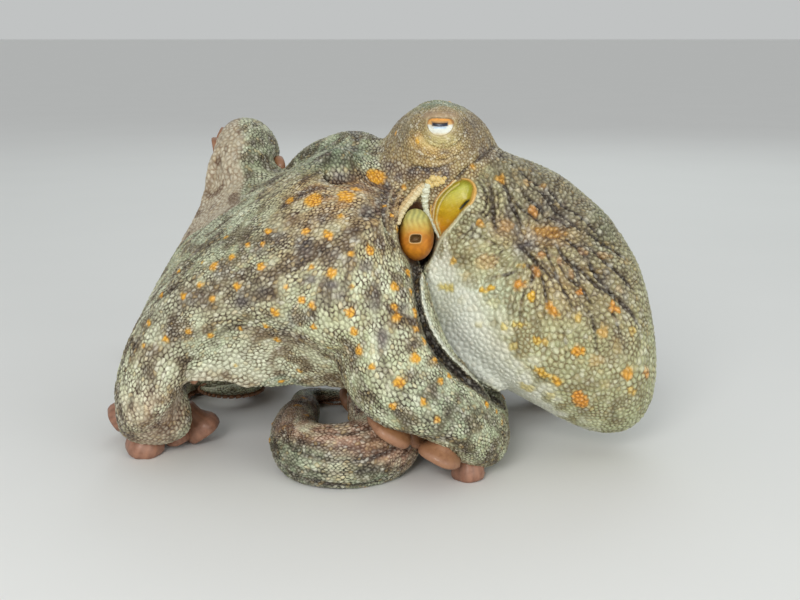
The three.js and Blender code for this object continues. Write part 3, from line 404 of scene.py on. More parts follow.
# ====================================================================== the skin, first form
base = Solids()
base.add(*ellipsoid(MANTLE_CENTRE, [MU, MV, MW], [MANTLE_LENGTH / 2, MANTLE_WIDTH / 2, MANTLE_DEPTH / 2], 120, 90, mantle_form))
base.add(*ellipsoid(HEAD_CENTRE, XYZ, HEAD_RADII))
for side in (-1, 1):
    base.add(*ellipsoid((EYE_MOUND[0], side * EYE_MOUND[1], EYE_MOUND[2]), XYZ, EYE_MOUND_RADII))
base.add(*ellipsoid(CROWN_CENTRE, XYZ, CROWN_RADII))
for n, A in ARM.items():
    flat = 0.82 - 0.2 * smooth(50, 110, A['s'])
    base.add(*tube(A['q'], A['r'] * 0.985, A['O'], A['S'], 28, flat))
for w in WEBS:
    W, G = web_sheet(w, ripple=0.006, hang=(w['a'] == 'L3'))
    base.add(*slab(W - G * 0.1, G, WEB_THICKNESS - 0.2))
skin = mesh_object("skin", np.vstack(base.v), base.f)
remesh(skin, 1.5)
V = coords(skin.data) * 1000 + ORIGIN; net = Net(skin.data); V = net.blur(V, 7)
# the step between head, eye mounds and crown is softened
headish = smooth(112, 128, V[:, 2]) * smooth(66, 44, np.abs(V[:, 0] - 10))
V = net.blur(V, 36, 0.6 * headish * smooth(176, 168, V[:, 2]))
# the whole surface before its hollows, to lay thin parts across them
SHEET = BVHTree.FromPolygons(V.tolist(), np.stack([net.lv[net.ls + k] for k in range(4)], 1).tolist())
def cast(x, y, out=0.0):
    d = unit(C_FWD + np.array([1.0, 0, 0]) * (x - 400) / CAM_F + C_UP * (300 - y) / CAM_F)
    hit = SHEET.ray_cast(Vector(C_POS), Vector(d))
    return np.array(hit[0]) - C_FWD * out
# hollows: the pit round the funnel, the slit below it, the opening of the mantle
N = net.normals(V); px, py = project(V)
facing = -(N @ C_FWD); near = (facing > -0.15) & (V[:, 1] < -8)
at1 = lay_out(V)
pit = smooth(-1.0, 2.5, inside(px, py, PIT)) * near * (4.5 + 10.5 * smooth(206, 222, py))
gap = smooth(-1.0, 2.5, inside(px, py, GAP)) * near * (14 - 5 * smooth(440, 500, px))
leaf = smooth(-1.5, 5.0, inside(px, py, LEAF)) * near
V = V + C_FWD * (np.maximum(pit, gap) + 2.6 * leaf)[:, None]
put(skin.data, V)
# the mantle swells out over the gap along its near lower edge
swell = Solids(); side_px = [(441, 272), (440.5, 284), (441.5, 296), (445, 311), (450.5, 325), (458, 338), (468.5, 351), (482, 364), (498, 378)]
for k in np.linspace(0, len(side_px) - 1.001, 40):
    i = int(k); f = k - i; x, y = (np.array(side_px[i]) * (1 - f) + np.array(side_px[i + 1]) * f).tolist(); rr = 9.2 - 1.6 * (k / 8) ** 3 - 1.2 * max(0, 1 - k) ** 2
    v, fa = ellipsoid(cast(x, y, 0.0) + C_FWD * (rr + 0.4), np.eye(3), (rr, rr, rr), 20, 14); swell.add(v, fa)
dip = float(np.mean([(cast(x, y) - C_POS) @ C_FWD for x, y in ((316, 168), (353, 166), (334, 188), (338, 150))]))
for x, y, rr, back in ((334, 168, 9.0, 8.0), (327, 174, 8.0, 7.4), (341, 163, 8.0, 7.4)):
    q_ = cast(x, y); q_ = C_POS + (q_ - C_POS) * ((dip + back) / ((q_ - C_POS) @ C_FWD)); v, fa = ellipsoid(q_, np.eye(3), (rr, rr, rr), 20, 14); swell.add(v, fa)
tube_ = mesh_object("swell", np.vstack(swell.v), swell.f)
import bmesh
bm = bmesh.new(); bm.from_mesh(skin.data); bm.from_mesh(tube_.data); bm.to_mesh(skin.data); bm.free(); bpy.data.objects.remove(tube_, do_unlink=True)
remesh(skin, 1.0)
V = coords(skin.data) * 1000 + ORIGIN; net = Net(skin.data); V = net.blur(V, 2)
px, py = project(V); soft_edge = stroke(px, py, [(446, 262), (448, 284), (452, 311), (464, 334), (484, 356), (508, 378)], 13) * (V[:, 1] < -5) * (inside(px, py, GAP) < -2)
soft_edge = np.maximum(soft_edge, np.exp(-(((px - 334) / 24) ** 2 + ((py - 169) / 20) ** 2) ** 1.5) * (V[:, 1] < 25) * (V[:, 2] > 70))
V = net.blur(V, 34, 0.8 * soft_edge)
V[:, 2] = np.where(V[:, 2] < 1.5, 1.5 * np.exp((V[:, 2] - 1.5) / 1.5), V[:, 2])     # nothing under the floor
put(skin.data, V)

# ---- a finer net where the eyes and the front features are
bm = bmesh.new(); bm.from_mesh(skin.data); bm.faces.ensure_lookup_table()
fc = net.centres(V); fx, fy = project(fc); mirror = fc * [1, -1, 1]; mx, my = project(mirror)
eye_zone = np.minimum(np.linalg.norm(fc - EYE_CENTRE, axis=1), np.linalg.norm(mirror - EYE_CENTRE, axis=1)) < 14.5
zone = np.maximum(inside(fx, fy, [(382, 190), (395, 176), (420, 166), (450, 168), (470, 170), (482, 182), (481, 206), (468, 224), (450, 248), (436, 268), (424, 284), (410, 276), (398, 256), (388, 226)]) > 0, 0) & (fc[:, 1] < -5)
zone = zone | ((inside(fx, fy, [(478, 165), (510, 158), (560, 172), (610, 225), (640, 280), (648, 335), (600, 350), (545, 350), (500, 320), (480, 296), (470, 262), (484, 240)]) > 0) & (fc[:, 1] < -12) & (fc[:, 0] > 25))
edges = {e for k in np.where(eye_zone)[0] for e in bm.faces[k].edges}
others = {e for k in np.where(zone & ~eye_zone)[0] for e in bm.faces[k].edges} - edges
bmesh.ops.subdivide_edges(bm, edges=list(edges), cuts=2, use_grid_fill=True)
bmesh.ops.subdivide_edges(bm, edges=[e for e in others if e.is_valid], cuts=1, use_grid_fill=True)
bm.to_mesh(skin.data); bm.free(); skin.data.update()
V = coords(skin.data) * 1000 + ORIGIN; net = Net(skin.data)
len_e = np.linalg.norm(V[net.b] - V[net.a], axis=1)
len_v = (np.bincount(net.a, len_e, net.n) + np.bincount(net.b, len_e, net.n)) / np.maximum(net.deg, 1)
V = net.blur(V, 3, 0.5 * smooth(0.85, 0.6, len_v))
print("skin", len(V), "vertices", len(skin.data.polygons), "faces", round(time.time() - T_START, 1), "s")

# ====================================================================== where each point of the skin lies
NAMES = list(ARMS)
LAY = lay_out(V)
NRM = net.normals(V)
PX, PY = project(V)
DEPTH = (V - C_POS) @ C_FWD
FACING = (NRM * unit(C_POS - V)).sum(1)
w_mantle = smooth(-2.5, 2.5, np.minimum(LAY['d_arm'], LAY['d_head']) - LAY['d_mantle'])
w_head = smooth(-3, 3, np.minimum(LAY['d_arm'], LAY['d_mantle']) - LAY['d_head']) * smooth(116, 128, V[:, 2])
front = smooth(-0.1, 0.25, FACING)
near_side = front * (V[:, 1] < -2)
TREE = kdtree.KDTree(len(V))
for i, p in enumerate(V.tolist()): TREE.insert(p, i)
TREE.balance()
seen = np.where((FACING > 0.02))[0]
seen_x, seen_y, seen_d = PX[seen], PY[seen], DEPTH[seen]
def spot_on(x, y, reach=3.2):
    """the vertex that shows at an image place"""
    m = np.where((np.abs(seen_x - x) < reach) & (np.abs(seen_y - y) < reach))[0]
    if len(m) == 0: return None
    score = seen_d[m] + 1.2 * np.hypot(seen_x[m] - x, seen_y[m] - y)
    return int(seen[m[score.argmin()]])
def bell(i, radius, flat=0.0):
    """vertices round vertex i and a bell over them, only on the same face of the skin"""
    hits = TREE.find_range(V[i].tolist(), radius * 2.2)
    idx = np.array([h[1] for h in hits]); dist = np.array([h[2] for h in hits])
    k = (NRM[idx] @ NRM[i]) > 0.1
    idx, dist = idx[k], dist[k]
    return idx, np.exp(-np.maximum(dist / radius - flat, 0) ** 2 / (1 - flat) ** 2 * 1.2)

push = np.zeros(len(V))          # relief along the normal, mm
toward = np.zeros(len(V))        # relief toward the viewer, mm
calm = np.zeros(len(V))          # 1 where the skin is smooth, with no cells
wrinkle = np.zeros(len(V))
# ---- wrinkles of the mantle: they spread from a hollow high on its left side
WRINKLES = [  # places in the picture, half width in px, depth
  ([(486, 175), (490, 190), (492, 205), (494, 218), (497, 231)], 2.6, 0.75), ([(505, 184), (510, 200), (517, 215), (523, 227)], 1.5, 0.9), ([(524, 192), (536, 204), (548, 215), (560, 221), (570, 227)], 1.5, 1.0),
  ([(540, 191), (552, 205), (566, 219), (580, 230)], 1.4, 0.9), ([(554, 243), (564, 256), (576, 268), (582, 284)], 1.5, 1.0), ([(567, 238), (578, 249), (588, 264), (598, 280), (610, 288)], 1.6, 1.0),
  ([(571, 260), (584, 273), (598, 285), (611, 294), (625, 306), (638, 322)], 1.4, 1.0), ([(609, 288), (622, 301), (632, 313), (640, 327)], 1.3, 1.0), ([(527, 263), (533, 271), (531, 283)], 2.0, 1.0),
  ([(518, 243), (528, 254), (540, 265), (552, 277)], 1.6, 1.0), ([(488, 280), (498, 275.5), (510, 273), (524, 267)], 1.8, 0.55), ([(535, 264), (544, 281), (547, 297), (549, 312)], 1.4, 0.8), ([(559, 262), (568, 277), (581, 288), (592, 304)], 1.4, 0.9),
  ([(585, 230), (600, 239), (615, 248), (628, 262)], 1.4, 0.9), ([(591, 248), (606, 261), (620, 276), (637, 290)], 1.5, 0.95), ([(580, 300), (591, 317), (596, 340), (597, 356)], 2.2, 0.5), ([(524, 291), (520, 305), (519, 317)], 1.4, 0.6),
  ([(498, 172), (506, 190), (520, 206), (540, 222)], 1.3, 0.7), ([(512, 164), (534, 180), (560, 200), (588, 222), (606, 238)], 1.5, 0.8), ([(546, 246), (551, 262), (560, 283), (566, 300)], 1.3, 0.8), ([(541, 262), (555, 275), (566, 292), (575, 312)], 1.3, 0.7),
  ([(606, 300), (614, 316), (620, 334)], 1.4, 0.6), ([(508, 246), (498, 256), (493, 268)], 1.4, 0.5), ([(476, 232), (484, 240), (494, 245)], 1.5, 0.6), ([(560, 325), (566, 345), (566, 365)], 1.6, 0.4), ([(531, 186), (546, 196), (562, 210)], 1.2, 0.8),
]
on_mantle = w_mantle * front
for line, half, deep_ in WRINKLES:
    jag = [(x + 0.9 * math.sin(k * 2.3 + x), y + 0.9 * math.cos(k * 1.7 + y)) for k, (x, y) in enumerate(line)]
    wrinkle = np.maximum(wrinkle, stroke(PX, PY, jag, half * 1.25) * deep_)
for k, off in enumerate((6, 12, 18, 25)):          # folds that follow the rim of the opening
    f = stroke(PX, PY, [(460 + off * .3, 172 - off * .7), (477 + off, 186), (479 + off, 206), (467 + off, 224), (450 + off, 240 + off * .3)], 1.6)
    wrinkle = np.maximum(wrinkle, (0.6 - 0.12 * k) * f)
wrinkle *= on_mantle
wrinkle *= 0.75 + 0.5 * smooth(-0.3, 0.5, np.sin(V[:, 0] * 0.9 + 2 * np.sin(V[:, 2] * 0.5)) * np.sin(V[:, 2] * 0.8 + V[:, 0] * 0.3)); wrinkle = np.clip(wrinkle, 0, 1)
push -= 1.9 * wrinkle
ribs = np.zeros(len(V)); rib_a = np.arctan2(PY - 246, PX - 526); rib_r = np.hypot(PY - 246, PX - 526)
rib_wave = np.cos(rib_a * 17 + 1.1 * np.sin(rib_r / 13 + rib_a * 2) + 0.7 * np.sin(rib_r / 31)) + 0.55 * np.cos(rib_a * 31 + 1.3 * np.sin(rib_r / 9) + 1)
ribs = smooth(0.55, 1.35, rib_wave) * smooth(6, 20, rib_r) * smooth(120, 66, rib_r) * on_mantle * (0.3 + 0.7 * smooth(500, 526, PX)) * (0.25 + 0.75 * smooth(0.6, -0.5, np.sin(rib_a - 0.2) * 0 + (PY - 300) / 60))
push -= 0.45 * ribs
# broad swells between the folds
ang = np.arctan2(PY - 246, PX - 527); rad = np.hypot(PY - 246, PX - 527)
push += 0.9 * np.sin(ang * 9 + np.sin(rad / 17) * 1.3) * smooth(8, 40, rad) * smooth(190, 60, rad) * on_mantle * smooth(-0.2, 0.5, V[:, 2] / 100 - 0.3)
hollow = np.exp(-((PX - 526) ** 2 + (PY - 246) ** 2) / 150.0) * on_mantle
push -= 2.0 * hollow
# ---- creases of the head and neck: image line, half width in px, depth, and strength of the painted shade in each crease
CREASES = [([(503, 139), (484, 156), (464, 172), (453, 183)], 2.0, 2.2, 1), ([(387, 190), (384, 208), (387, 230), (391, 246)], 2.2, 1.8, 1), ([(404, 176), (416, 168), (430, 172), (446, 167)], 2.0, 1.3, 1),
           ([(392, 204), (399, 190), (412, 183)], 1.8, 0.9, 0.8), ([(428, 120), (421, 113.5), (411, 109)], 1.3, 0.6, 0.6), ([(426, 129), (431, 138), (441, 141.5), (452, 138), (457, 131)], 1.2, 0.6, 0.35),
           ([(419, 133), (428, 144), (442, 148), (456, 143), (464, 134)], 1.4, 0.6, 0.4), ([(429, 114.5), (437, 110.6), (447, 110.6), (456, 115)], 1.2, 0.5, 0.5), ([(456, 121), (465, 128), (471, 139)], 1.4, 0.6, 0.6),
           ([(458, 116), (470, 122), (480, 134)], 1.5, 0.7, 0.7), ([(410, 150), (424, 158), (442, 160), (458, 155), (470, 146)], 1.6, 0.7, 0.6), ([(404, 160), (420, 168), (440, 168), (460, 160)], 1.7, 0.8, 0.8),
           ([(402, 128), (412, 138), (418, 150)], 1.6, 0.5, 0.5), ([(396, 140), (404, 152), (410, 166)], 1.6, 0.6, 0.6), ([(486, 132), (492, 146), (486, 160)], 1.8, 0.8, 0.8)]
crease = np.zeros(len(V))
for line, wd, dp, dark in CREASES:
    f = stroke(PX, PY, line, wd) * near_side
    push -= 0.8 * dp * f; crease = np.maximum(crease, 0.62 * dark * f)
# the far side of the head has the same folds round its eye
FX, FY = project(V * [1, -1, 1]); far_side = (V[:, 1] > 12) * (V[:, 2] > 128)
for line, wd, dp, dark in CREASES[4:12]:
    f = stroke(FX, FY, line, wd) * far_side
    push -= dp * f; crease = np.maximum(crease, dark * f)
# ---- long furrows along the arms
round_arm = np.arctan2(LAY['side'], -LAY['oral']); sk = LAY['s']
def lines_along(n, seed, sway):
    u = round_arm * n + seed + sway * np.sin(sk / 17 + seed * 3) + 0.5 * sway * np.sin(sk / 7.3 + seed)
    return smooth(0.72, 1.0, np.cos(u)) * smooth(-0.5, 0.6, np.sin(sk / 23 + 3.1 * np.floor((u + math.pi) / (2 * math.pi)) * 1.7 + seed))
hug = smooth(7, 1.5, LAY['d_arm']) * (1 - w_mantle) * (1 - w_head)
is_L3 = (LAY['arm'] == NAMES.index('L3')); is_R4 = (LAY['arm'] == NAMES.index('R4')); is_L2 = (LAY['arm'] == NAMES.index('L2')); is_L4 = (LAY['arm'] == NAMES.index('L4'))
lines = np.maximum(lines_along(7, 0.7, 0.8), 0.8 * lines_along(12, 2.1, 1.0)) * hug * smooth(45, 80, sk) * np.where(is_L3 | is_R4, 1.0, np.where(is_L4, 0.75, 0.55)) * np.clip(LAY['r'] / 10, 0.3, 1)
lines *= smooth(0.45, 0.1, LAY['oral'])
push -= 0.55 * lines
# ---- opening of the mantle: calm floor, pale double rim on the left, orange lip on the right
opening = inside(PX, PY, LEAF) * 1.0
leaf_in = smooth(-0.6, 0.8, opening) * near_side
FEATURES = {
  'rim_a': ([(456, 181.5), (446, 189), (437.5, 199), (434, 209), (433.6, 220), (438.6, 236.5)], 1.3, 1.5), 'rim_b': ([(459, 184), (449, 191.5), (441.5, 201), (437.6, 212), (437.2, 223), (440.4, 234)], 1.1, 1.1),
  'lip': ([(462, 179), (469, 180.5), (474, 186), (474.6, 194), (472, 203), (464, 211)], [1.2, 1.4, 2.0, 2.4, 2.2, 1.2], 1.8), 'edge': ([(470, 207), (461, 214), (451, 225), (443, 236), (437, 248), (431, 260), (424, 272)], [1.6, 2, 2.2, 2.4, 2.2, 2.2, 1.8], 1.3),
  'strip': ([(427.5, 186.5), (425.2, 194), (424.8, 203), (427, 214), (432, 225), (439, 237.5)], [3.4, 3.0, 2.6, 2.2, 1.8, 1.4], 0.4),
  'left_lip': ([(424, 186), (417, 193.5), (410, 202.5), (403, 211.5), (398.6, 222)], [2.2, 2.3, 2.1, 1.9, 1.6], 0.8),
  'border': (MANTLE_EDGE, [2.0, 2.4, 3.2, 3.4, 3.2, 3.2, 3.0, 3.0, 2.8, 2.4, 2.0], 0.12),
  'strand': ([(395, 183), (391, 194), (388.4, 206), (388.2, 220)], [1.2, 1.7, 1.7, 1.0], 0.9),
  'cheek': ([(402, 190), (397, 202), (395.5, 217)], 2.6, 1.2),
}
FEAT = {}
for name, (line, wd, hi) in FEATURES.items():
    FEAT[name] = stroke(PX, PY, line, wd, 0.75) * near_side
    toward += hi * FEAT[name]
floor_y = np.clip((PY - 180) / 58, 0, 1)
toward -= (1.1 * smooth(0, 5, opening) - 0.9 * smooth(3, 11, opening)) * leaf_in        # a slightly raised middle
# a narrow slot at the lower right of the opening; further down it is painted near black as shade
gap = stroke(PX, PY, [(470.5, 200.5), (466, 204.5), (460.5, 209)], 1.5, 0.6) * near_side
toward -= 2.6 * gap
knob = np.zeros(len(V))
for x, y, rr in ((428.5, 182.5, 2.8), (433.5, 178.6, 3.0), (438.5, 178.8, 2.6), (442.5, 181.5, 2.6), (436, 183.6, 2.8), (431, 186, 2.2), (427, 187.5, 2.0), (421, 188, 2.2), (417.6, 193, 2.0)):
    knob = np.maximum(knob, np.exp(-((PX - x) ** 2 + (PY - y) ** 2) / rr ** 2) * near_side)
toward += 0.8 * knob
in_gap = smooth(-1.2, 1.2, inside(PX, PY, GAP)) * near_side
pit = smooth(-1.5, 1.5, inside(PX, PY, PIT)) * near_side * (1 - np.clip(FEAT['strip'] + FEAT['left_lip'] + FEAT['edge'], 0, 1))
calm = np.maximum.reduce([calm, leaf_in, smooth(0.2, 0.6, FEAT['rim_a']), smooth(0.2, 0.6, FEAT['rim_b']), smooth(0.3, 0.8, FEAT['lip']), 0.75 * smooth(0.3, 0.8, FEAT['strip']), smooth(0.4, 0.9, FEAT['left_lip']), pit, 0.8 * smooth(0.3, 0.8, FEAT['edge'])])
# ---- eyes: the lids cover the ball outside the opening, the socket lies under it inside
lid = np.zeros(len(V)); bag = np.zeros(len(V)); socket = np.zeros(len(V))
for sd in (-1, 1):
    C = EYE_CENTRE * np.array([1, 1 if sd < 0 else -1, 1])
    m = np.where((np.linalg.norm(V - C, axis=1) < 20) & (V[:, 1] * sd > 8))[0]
    W = V[m] * np.array([1, 1 if sd < 0 else -1, 1]); out = W - EYE_CENTRE
    wx, wy = project(EYE_CENTRE + unit(out) * (EYE_RADIUS + 0.5)); g = inside(wx, wy, EYE_D); rho = np.linalg.norm(out, axis=1); outward = smooth(-0.1, 0.25, -unit(out) @ C_FWD)
    upper = smooth(121, 116, wy)
    want = np.maximum(rho, EYE_RADIUS + 0.45 + (0.10 + 0.45 * upper) * np.exp(-((g + 2.4) / 4.0) ** 2))
    k = smooth(-0.7, 0.7, g)
    target = want * (1 - k) + (EYE_RADIUS - 1.6) * k
    fade = outward * smooth(19, 15, rho)
    W = EYE_CENTRE + unit(out) * (rho + (target - rho) * fade)[:, None]
    V[m] = W * np.array([1, 1 if sd < 0 else -1, 1])
    lid[m] = np.maximum(lid[m], upper * np.exp(-((g + 3) / 4.5) ** 2) * fade); socket[m] = np.maximum(socket[m], k * fade)
    calm[m] = np.maximum(calm[m], fade * np.where(upper > 0.5, 0.75 * smooth(-8.0, -3.0, g), 0.8 * smooth(-3.4, -1.2, g)))
    b = np.exp(-(((wx - 437) / 17) ** 2 + ((wy - 138.5) / 7) ** 2) ** 1.5) * fade
    bag[m] = np.maximum(bag[m], b); calm[m] = np.maximum(calm[m], 0.55 * b)
print("relief", round(time.time() - T_START, 1), "s")

# ====================================================================== spots and blotches, named by where they show
SPOTS = [  # image place, radius in mm, strength; raised papillae
  (213, 266, 2.1, 1), (231, 257, 1.7, 1), (260, 266, 1.9, 1), (199, 285, 1.6, .8), (183, 295, 1.6, .8), (237, 286, 1.7, .9), (212, 299, 1.6, .8), (149, 322, 1.7, .8), (189, 332, 1.6, .8),
  (166, 338, 1.7, .7), (275, 313, 1.9, 1), (265, 326, 1.6, .9), (212, 336, 1.8, .9), (160, 294, 1.6, .7), (267, 231, 1.6, .9), (263, 243, 1.3, .8), (248, 245, 1.3, .8), (276, 340, 1.6, .9),
  (305, 231, 1.9, 1), (329, 235, 2.0, .9), (371, 250, 2.0, 1), (351, 254, 1.4, .8), (330, 274, 2.1, 1), (312, 266, 1.4, .6), (352, 286, 1.6, .6), (394, 287, 2.2, 1), (394, 306, 1.8, .9), (397, 318, 2.0, 1),
  (350, 313, 1.9, 1), (311, 306, 1.6, .9), (313, 326, 1.5, .9), (355, 332, 1.8, 1), (301, 299, 1.8, 1), (360, 349, 1.5, .9), (359, 352, 1.9, .9), (373, 367, 1.7, .8), (399, 382, 2.3, 1),
  (393, 406, 1.7, .8), (423, 403, 1.5, .8), (437, 420, 1.5, .7), (313, 200, 4.0, 1), (347, 195, 4.0, 1), (356, 189, 2.6, .9), (392, 215, 1.5, .7), (325, 232, 1.4, .7), (290, 200, 2.2, .7), (377, 176, 4.6, .9),
  (400, 230, 1.8, .8), (408, 273, 1.9, 1), (412, 290, 1.5, .8), (416, 312, 1.9, 1), (417, 330, 1.5, .8), (425, 342, 1.5, .9), (416, 358, 2.2, 1), (435, 360, 1.8, .9), (440, 381, 1.7, .9), (450, 375, 1.5, .8),
  (487, 403, 1.8, .9), (499, 410, 1.5, .8), (505, 420, 1.5, .8), 
  
  (473, 167, 2.0, .6), (417, 141, 1.5, .6), (386, 205, 1.6, .8),
  (404, 186, 1.6, .7), (393, 132, 1.4, .6), (340, 216, 1.5, .7), (236, 366, 1.4, .5), (298, 372, 1.4, .5), 
  (241, 330, 1.3, .6), (286, 288, 1.3, .6), (330, 349, 1.3, .5), (225, 236, 1.3, .6), (202, 262, 1.2, .5), (176, 268, 1.4, .6), (143, 345, 1.4, .6),
]
BLOTCHES = [  # image place, half-width and half-height in px, strength
  (355, 239, 5, 5, .8), (334, 254, 9, 6, .9), (366, 266, 7, 6, .9), (332, 285, 6, 5, .8), (311, 280, 6, 5, .7), (374, 299, 8, 14, .7), (339, 297, 5, 5, .6), (397, 279, 5, 5, .5), (403, 293, 5, 6, .5),
  (402, 308, 5, 7, .6), (383, 338, 7, 12, .7), (306, 318, 7, 5, .6), (303, 246, 9, 11, .9), (222, 271, 9, 9, .8), (242, 301, 10, 9, .8), (191, 299, 9, 7, .6), (263, 291, 7, 6, .5), (277, 239, 9, 8, .8),
  (383, 200, 11, 13, .9), (375, 180, 8, 7, .7), (366, 212, 10, 8, .8), (322, 219, 6, 6, .7), (341, 177, 9, 5, .6), (325, 180, 7, 4, .5), (257, 250, 7, 6, .6), (284, 330, 6, 5, .5), (292, 320, 5, 9, .6),
  (345, 262, 6, 5, .5), (526, 246, 12, 10, .9), (509, 214, 5, 12, .7), (516, 228, 5, 9, .7), (494, 155, 12, 8, .6), (484, 152, 6, 8, .7), (560, 222, 8, 14, .5), (585, 250, 8, 12, .5), (545, 205, 8, 12, .4),
  (605, 280, 7, 14, .45), (548, 238, 10, 5, .5), (570, 275, 6, 8, .4), (625, 300, 6, 14, .4), (620, 345, 7, 12, .35), (470, 236, 5, 5, .4), (432, 170, 8, 3, .8), (446, 172, 4, 7, .9), (413, 171, 6, 4, .7),
  (398, 178, 5, 6, .6), (386, 185, 5, 14, .8), (396, 200, 3, 7, .5), (420, 150, 10, 2, .35), (424, 157, 10, 2, .4), (445, 152, 8, 3, .4), (390, 165, 8, 6, .5), (378, 150, 9, 5, .4), (350, 150, 10, 5, .4),
]
PATCHES = [  # image place, half length and half width in px, slope in degrees, strength, colour
  (487, 262, 12, 9, -10, .6, (226, 184, 122)), (488, 289, 9, 3.2, -14, 1, (226, 178, 52)), (480, 223, 4.2, 3.6, 0, .9, (222, 160, 62)), (501, 179, 5.4, 4, 20, .95, (220, 160, 52)), (534, 211, 6.5, 4.5, 40, .85, (214, 146, 66)),
  (507, 225, 9, 6.5, 0, .55, (216, 160, 90)), (550, 232, 17, 5.5, 8, .7, (196, 142, 58)), (541, 255, 6.5, 4, -10, .8, (198, 134, 62)), (521, 266, 5.4, 3.0, -8, .95, (214, 160, 44)), (537, 272, 3.6, 7, 8, .9, (210, 148, 72)),
  (518, 285, 8, 6, -38, .95, (228, 156, 56)), (531, 296, 3.6, 6.2, 0, 1, (232, 180, 36)), (552, 310, 10, 4.4, 42, 1, (230, 160, 44)), (581, 292, 3.4, 3.4, 0, .95, (214, 140, 52)), (578, 317, 4, 4.6, 0, .8, (222, 182, 84)),
  (615, 308, 8.5, 4.2, 54, 1, (226, 154, 46)), (602, 332, 5.2, 8, 0, .75, (220, 166, 78)), (519, 324, 8.5, 3.4, 10, .85, (222, 192, 82)), (504, 326, 4.6, 4.2, 0, .75, (222, 200, 108)), (482, 326, 10, 3, 6, .5, (224, 206, 124)),
  (494, 303, 8, 6, 0, .45, (222, 206, 128)), (536, 340, 4.2, 5.6, -20, .9, (226, 182, 60)), (545, 342, 3.6, 4.8, 0, .85, (224, 184, 84)), (578, 351, 7.4, 4.8, 6, 1, (232, 160, 28)), (514, 347, 4.4, 5.2, 0, .7, (220, 196, 104)),
  (542, 373, 9, 3.8, 30, .95, (228, 178, 52)), (557, 381, 5.4, 3.8, 30, 1, (230, 170, 40)), (580, 399, 9.5, 6.6, 46, 1, (230, 152, 44)), (628, 374, 6, 7, 30, .95, (226, 160, 50)), (646, 373, 3.4, 4.6, 0, .8, (222, 150, 60)),
  (632, 391, 4, 4.6, 0, .75, (222, 176, 72)), (596, 361, 9, 7, 0, .55, (216, 172, 98)), (632, 331, 4, 5, 0, .65, (222, 180, 80)), (454, 261, 3.8, 3.8, 0, .9, (224, 172, 62)), (446, 287, 9.5, 4, 12, .75, (226, 200, 92)), (526, 387, 9, 4, 24, .65, (218, 196, 104)),
  (550, 396, 5, 4, 0, .6, (216, 196, 112)), (560, 262, 3, 5, 0, .6, (214, 150, 84)), (573, 274, 3.4, 6.4, -24, .6, (210, 150, 88)), (606, 256, 9, 4, 18, .55, (206, 146, 72)), (583, 252, 6, 3.4, 40, .6, (210, 148, 76)), (528, 181, 5, 3.6, 0, .6, (206, 150, 70)),
  (543, 186, 4.6, 3.6, 30, .6, (208, 150, 66)), (626, 262, 4.4, 3.4, 20, .5, (200, 150, 84)), (617, 345, 5, 9, -10, .5, (214, 176, 96)), (566, 337, 6, 5, 0, .35, (214, 178, 104)), (605, 385, 6, 5, 0, .45, (214, 180, 96)), (465, 276, 6, 4.4, 0, .5, (222, 186, 112)),
  (470, 250, 4, 3, 0, .5, (222, 188, 110)), (463, 300, 6, 4, 0, .35, (224, 206, 130)), (590, 408, 5, 3, 0, .5, (216, 176, 84)), (560, 356, 3.4, 3.6, 0, .55, (222, 184, 84)), (590, 338, 3.4, 4.6, 0, .4, (220, 180, 90)), (620, 288, 4, 6, -30, .5, (208, 150, 80)),
]
patch = np.zeros(len(V)); patch_rgb = np.zeros((len(V), 3)); facing_us = (FACING > -0.1) & (w_mantle > 0.4) & (V[:, 1] < 30)
for x, y, ax, ay, slope, k, c in PATCHES:
    m = np.where((np.abs(PX - x) < 2 * max(ax, ay)) & (np.abs(PY - y) < 2 * max(ax, ay)) & facing_us)[0]
    co, si = math.cos(math.radians(slope)), math.sin(math.radians(slope)); dx, dy = PX[m] - x, PY[m] - y
    rr = np.hypot((dx * co + dy * si) / ax, (dy * co - dx * si) / ay) * (1 + 0.10 * np.sin(dx * 1.1 + y) + 0.10 * np.sin(dy * 1.3 + x))
    f = k * smooth(1.30, 0.72, rr); better = f > patch[m]; patch_rgb[m[better]] = c; patch[m[better]] = f[better]
push += 0.35 * patch
V += NRM * push[:, None] - C_FWD * toward[:, None]
spot = np.zeros(len(V)); blot = np.zeros(len(V)); raised = np.zeros(len(V))
for x, y, rr, k in SPOTS:
    i = spot_on(x, y)
    if i is None: continue
    idx, b = bell(i, rr * 1.05, 0.25)
    spot[idx] = np.maximum(spot[idx], b * k)
    if rr < 3: raised[idx] = np.maximum(raised[idx], b * k * 0.8 * min(1, rr / 2))
for x, y, ax, ay, k in BLOTCHES:
    m = np.where((np.abs(PX - x) < 2.4 * ax) & (np.abs(PY - y) < 2.4 * ay) & (FACING > -0.05))[0]
    if len(m) == 0: continue
    d0 = DEPTH[m].min(); m = m[DEPTH[m] < d0 + 45]
    u, v = (PX[m] - x) / ax, (PY[m] - y) / ay
    ragged = 1 + 0.22 * np.sin(u * 4.1 + y) + 0.18 * np.sin(v * 4.7 + x)
    blot[m] = np.maximum(blot[m], k * np.exp(-((u * u + v * v) * ragged) ** 1.2))
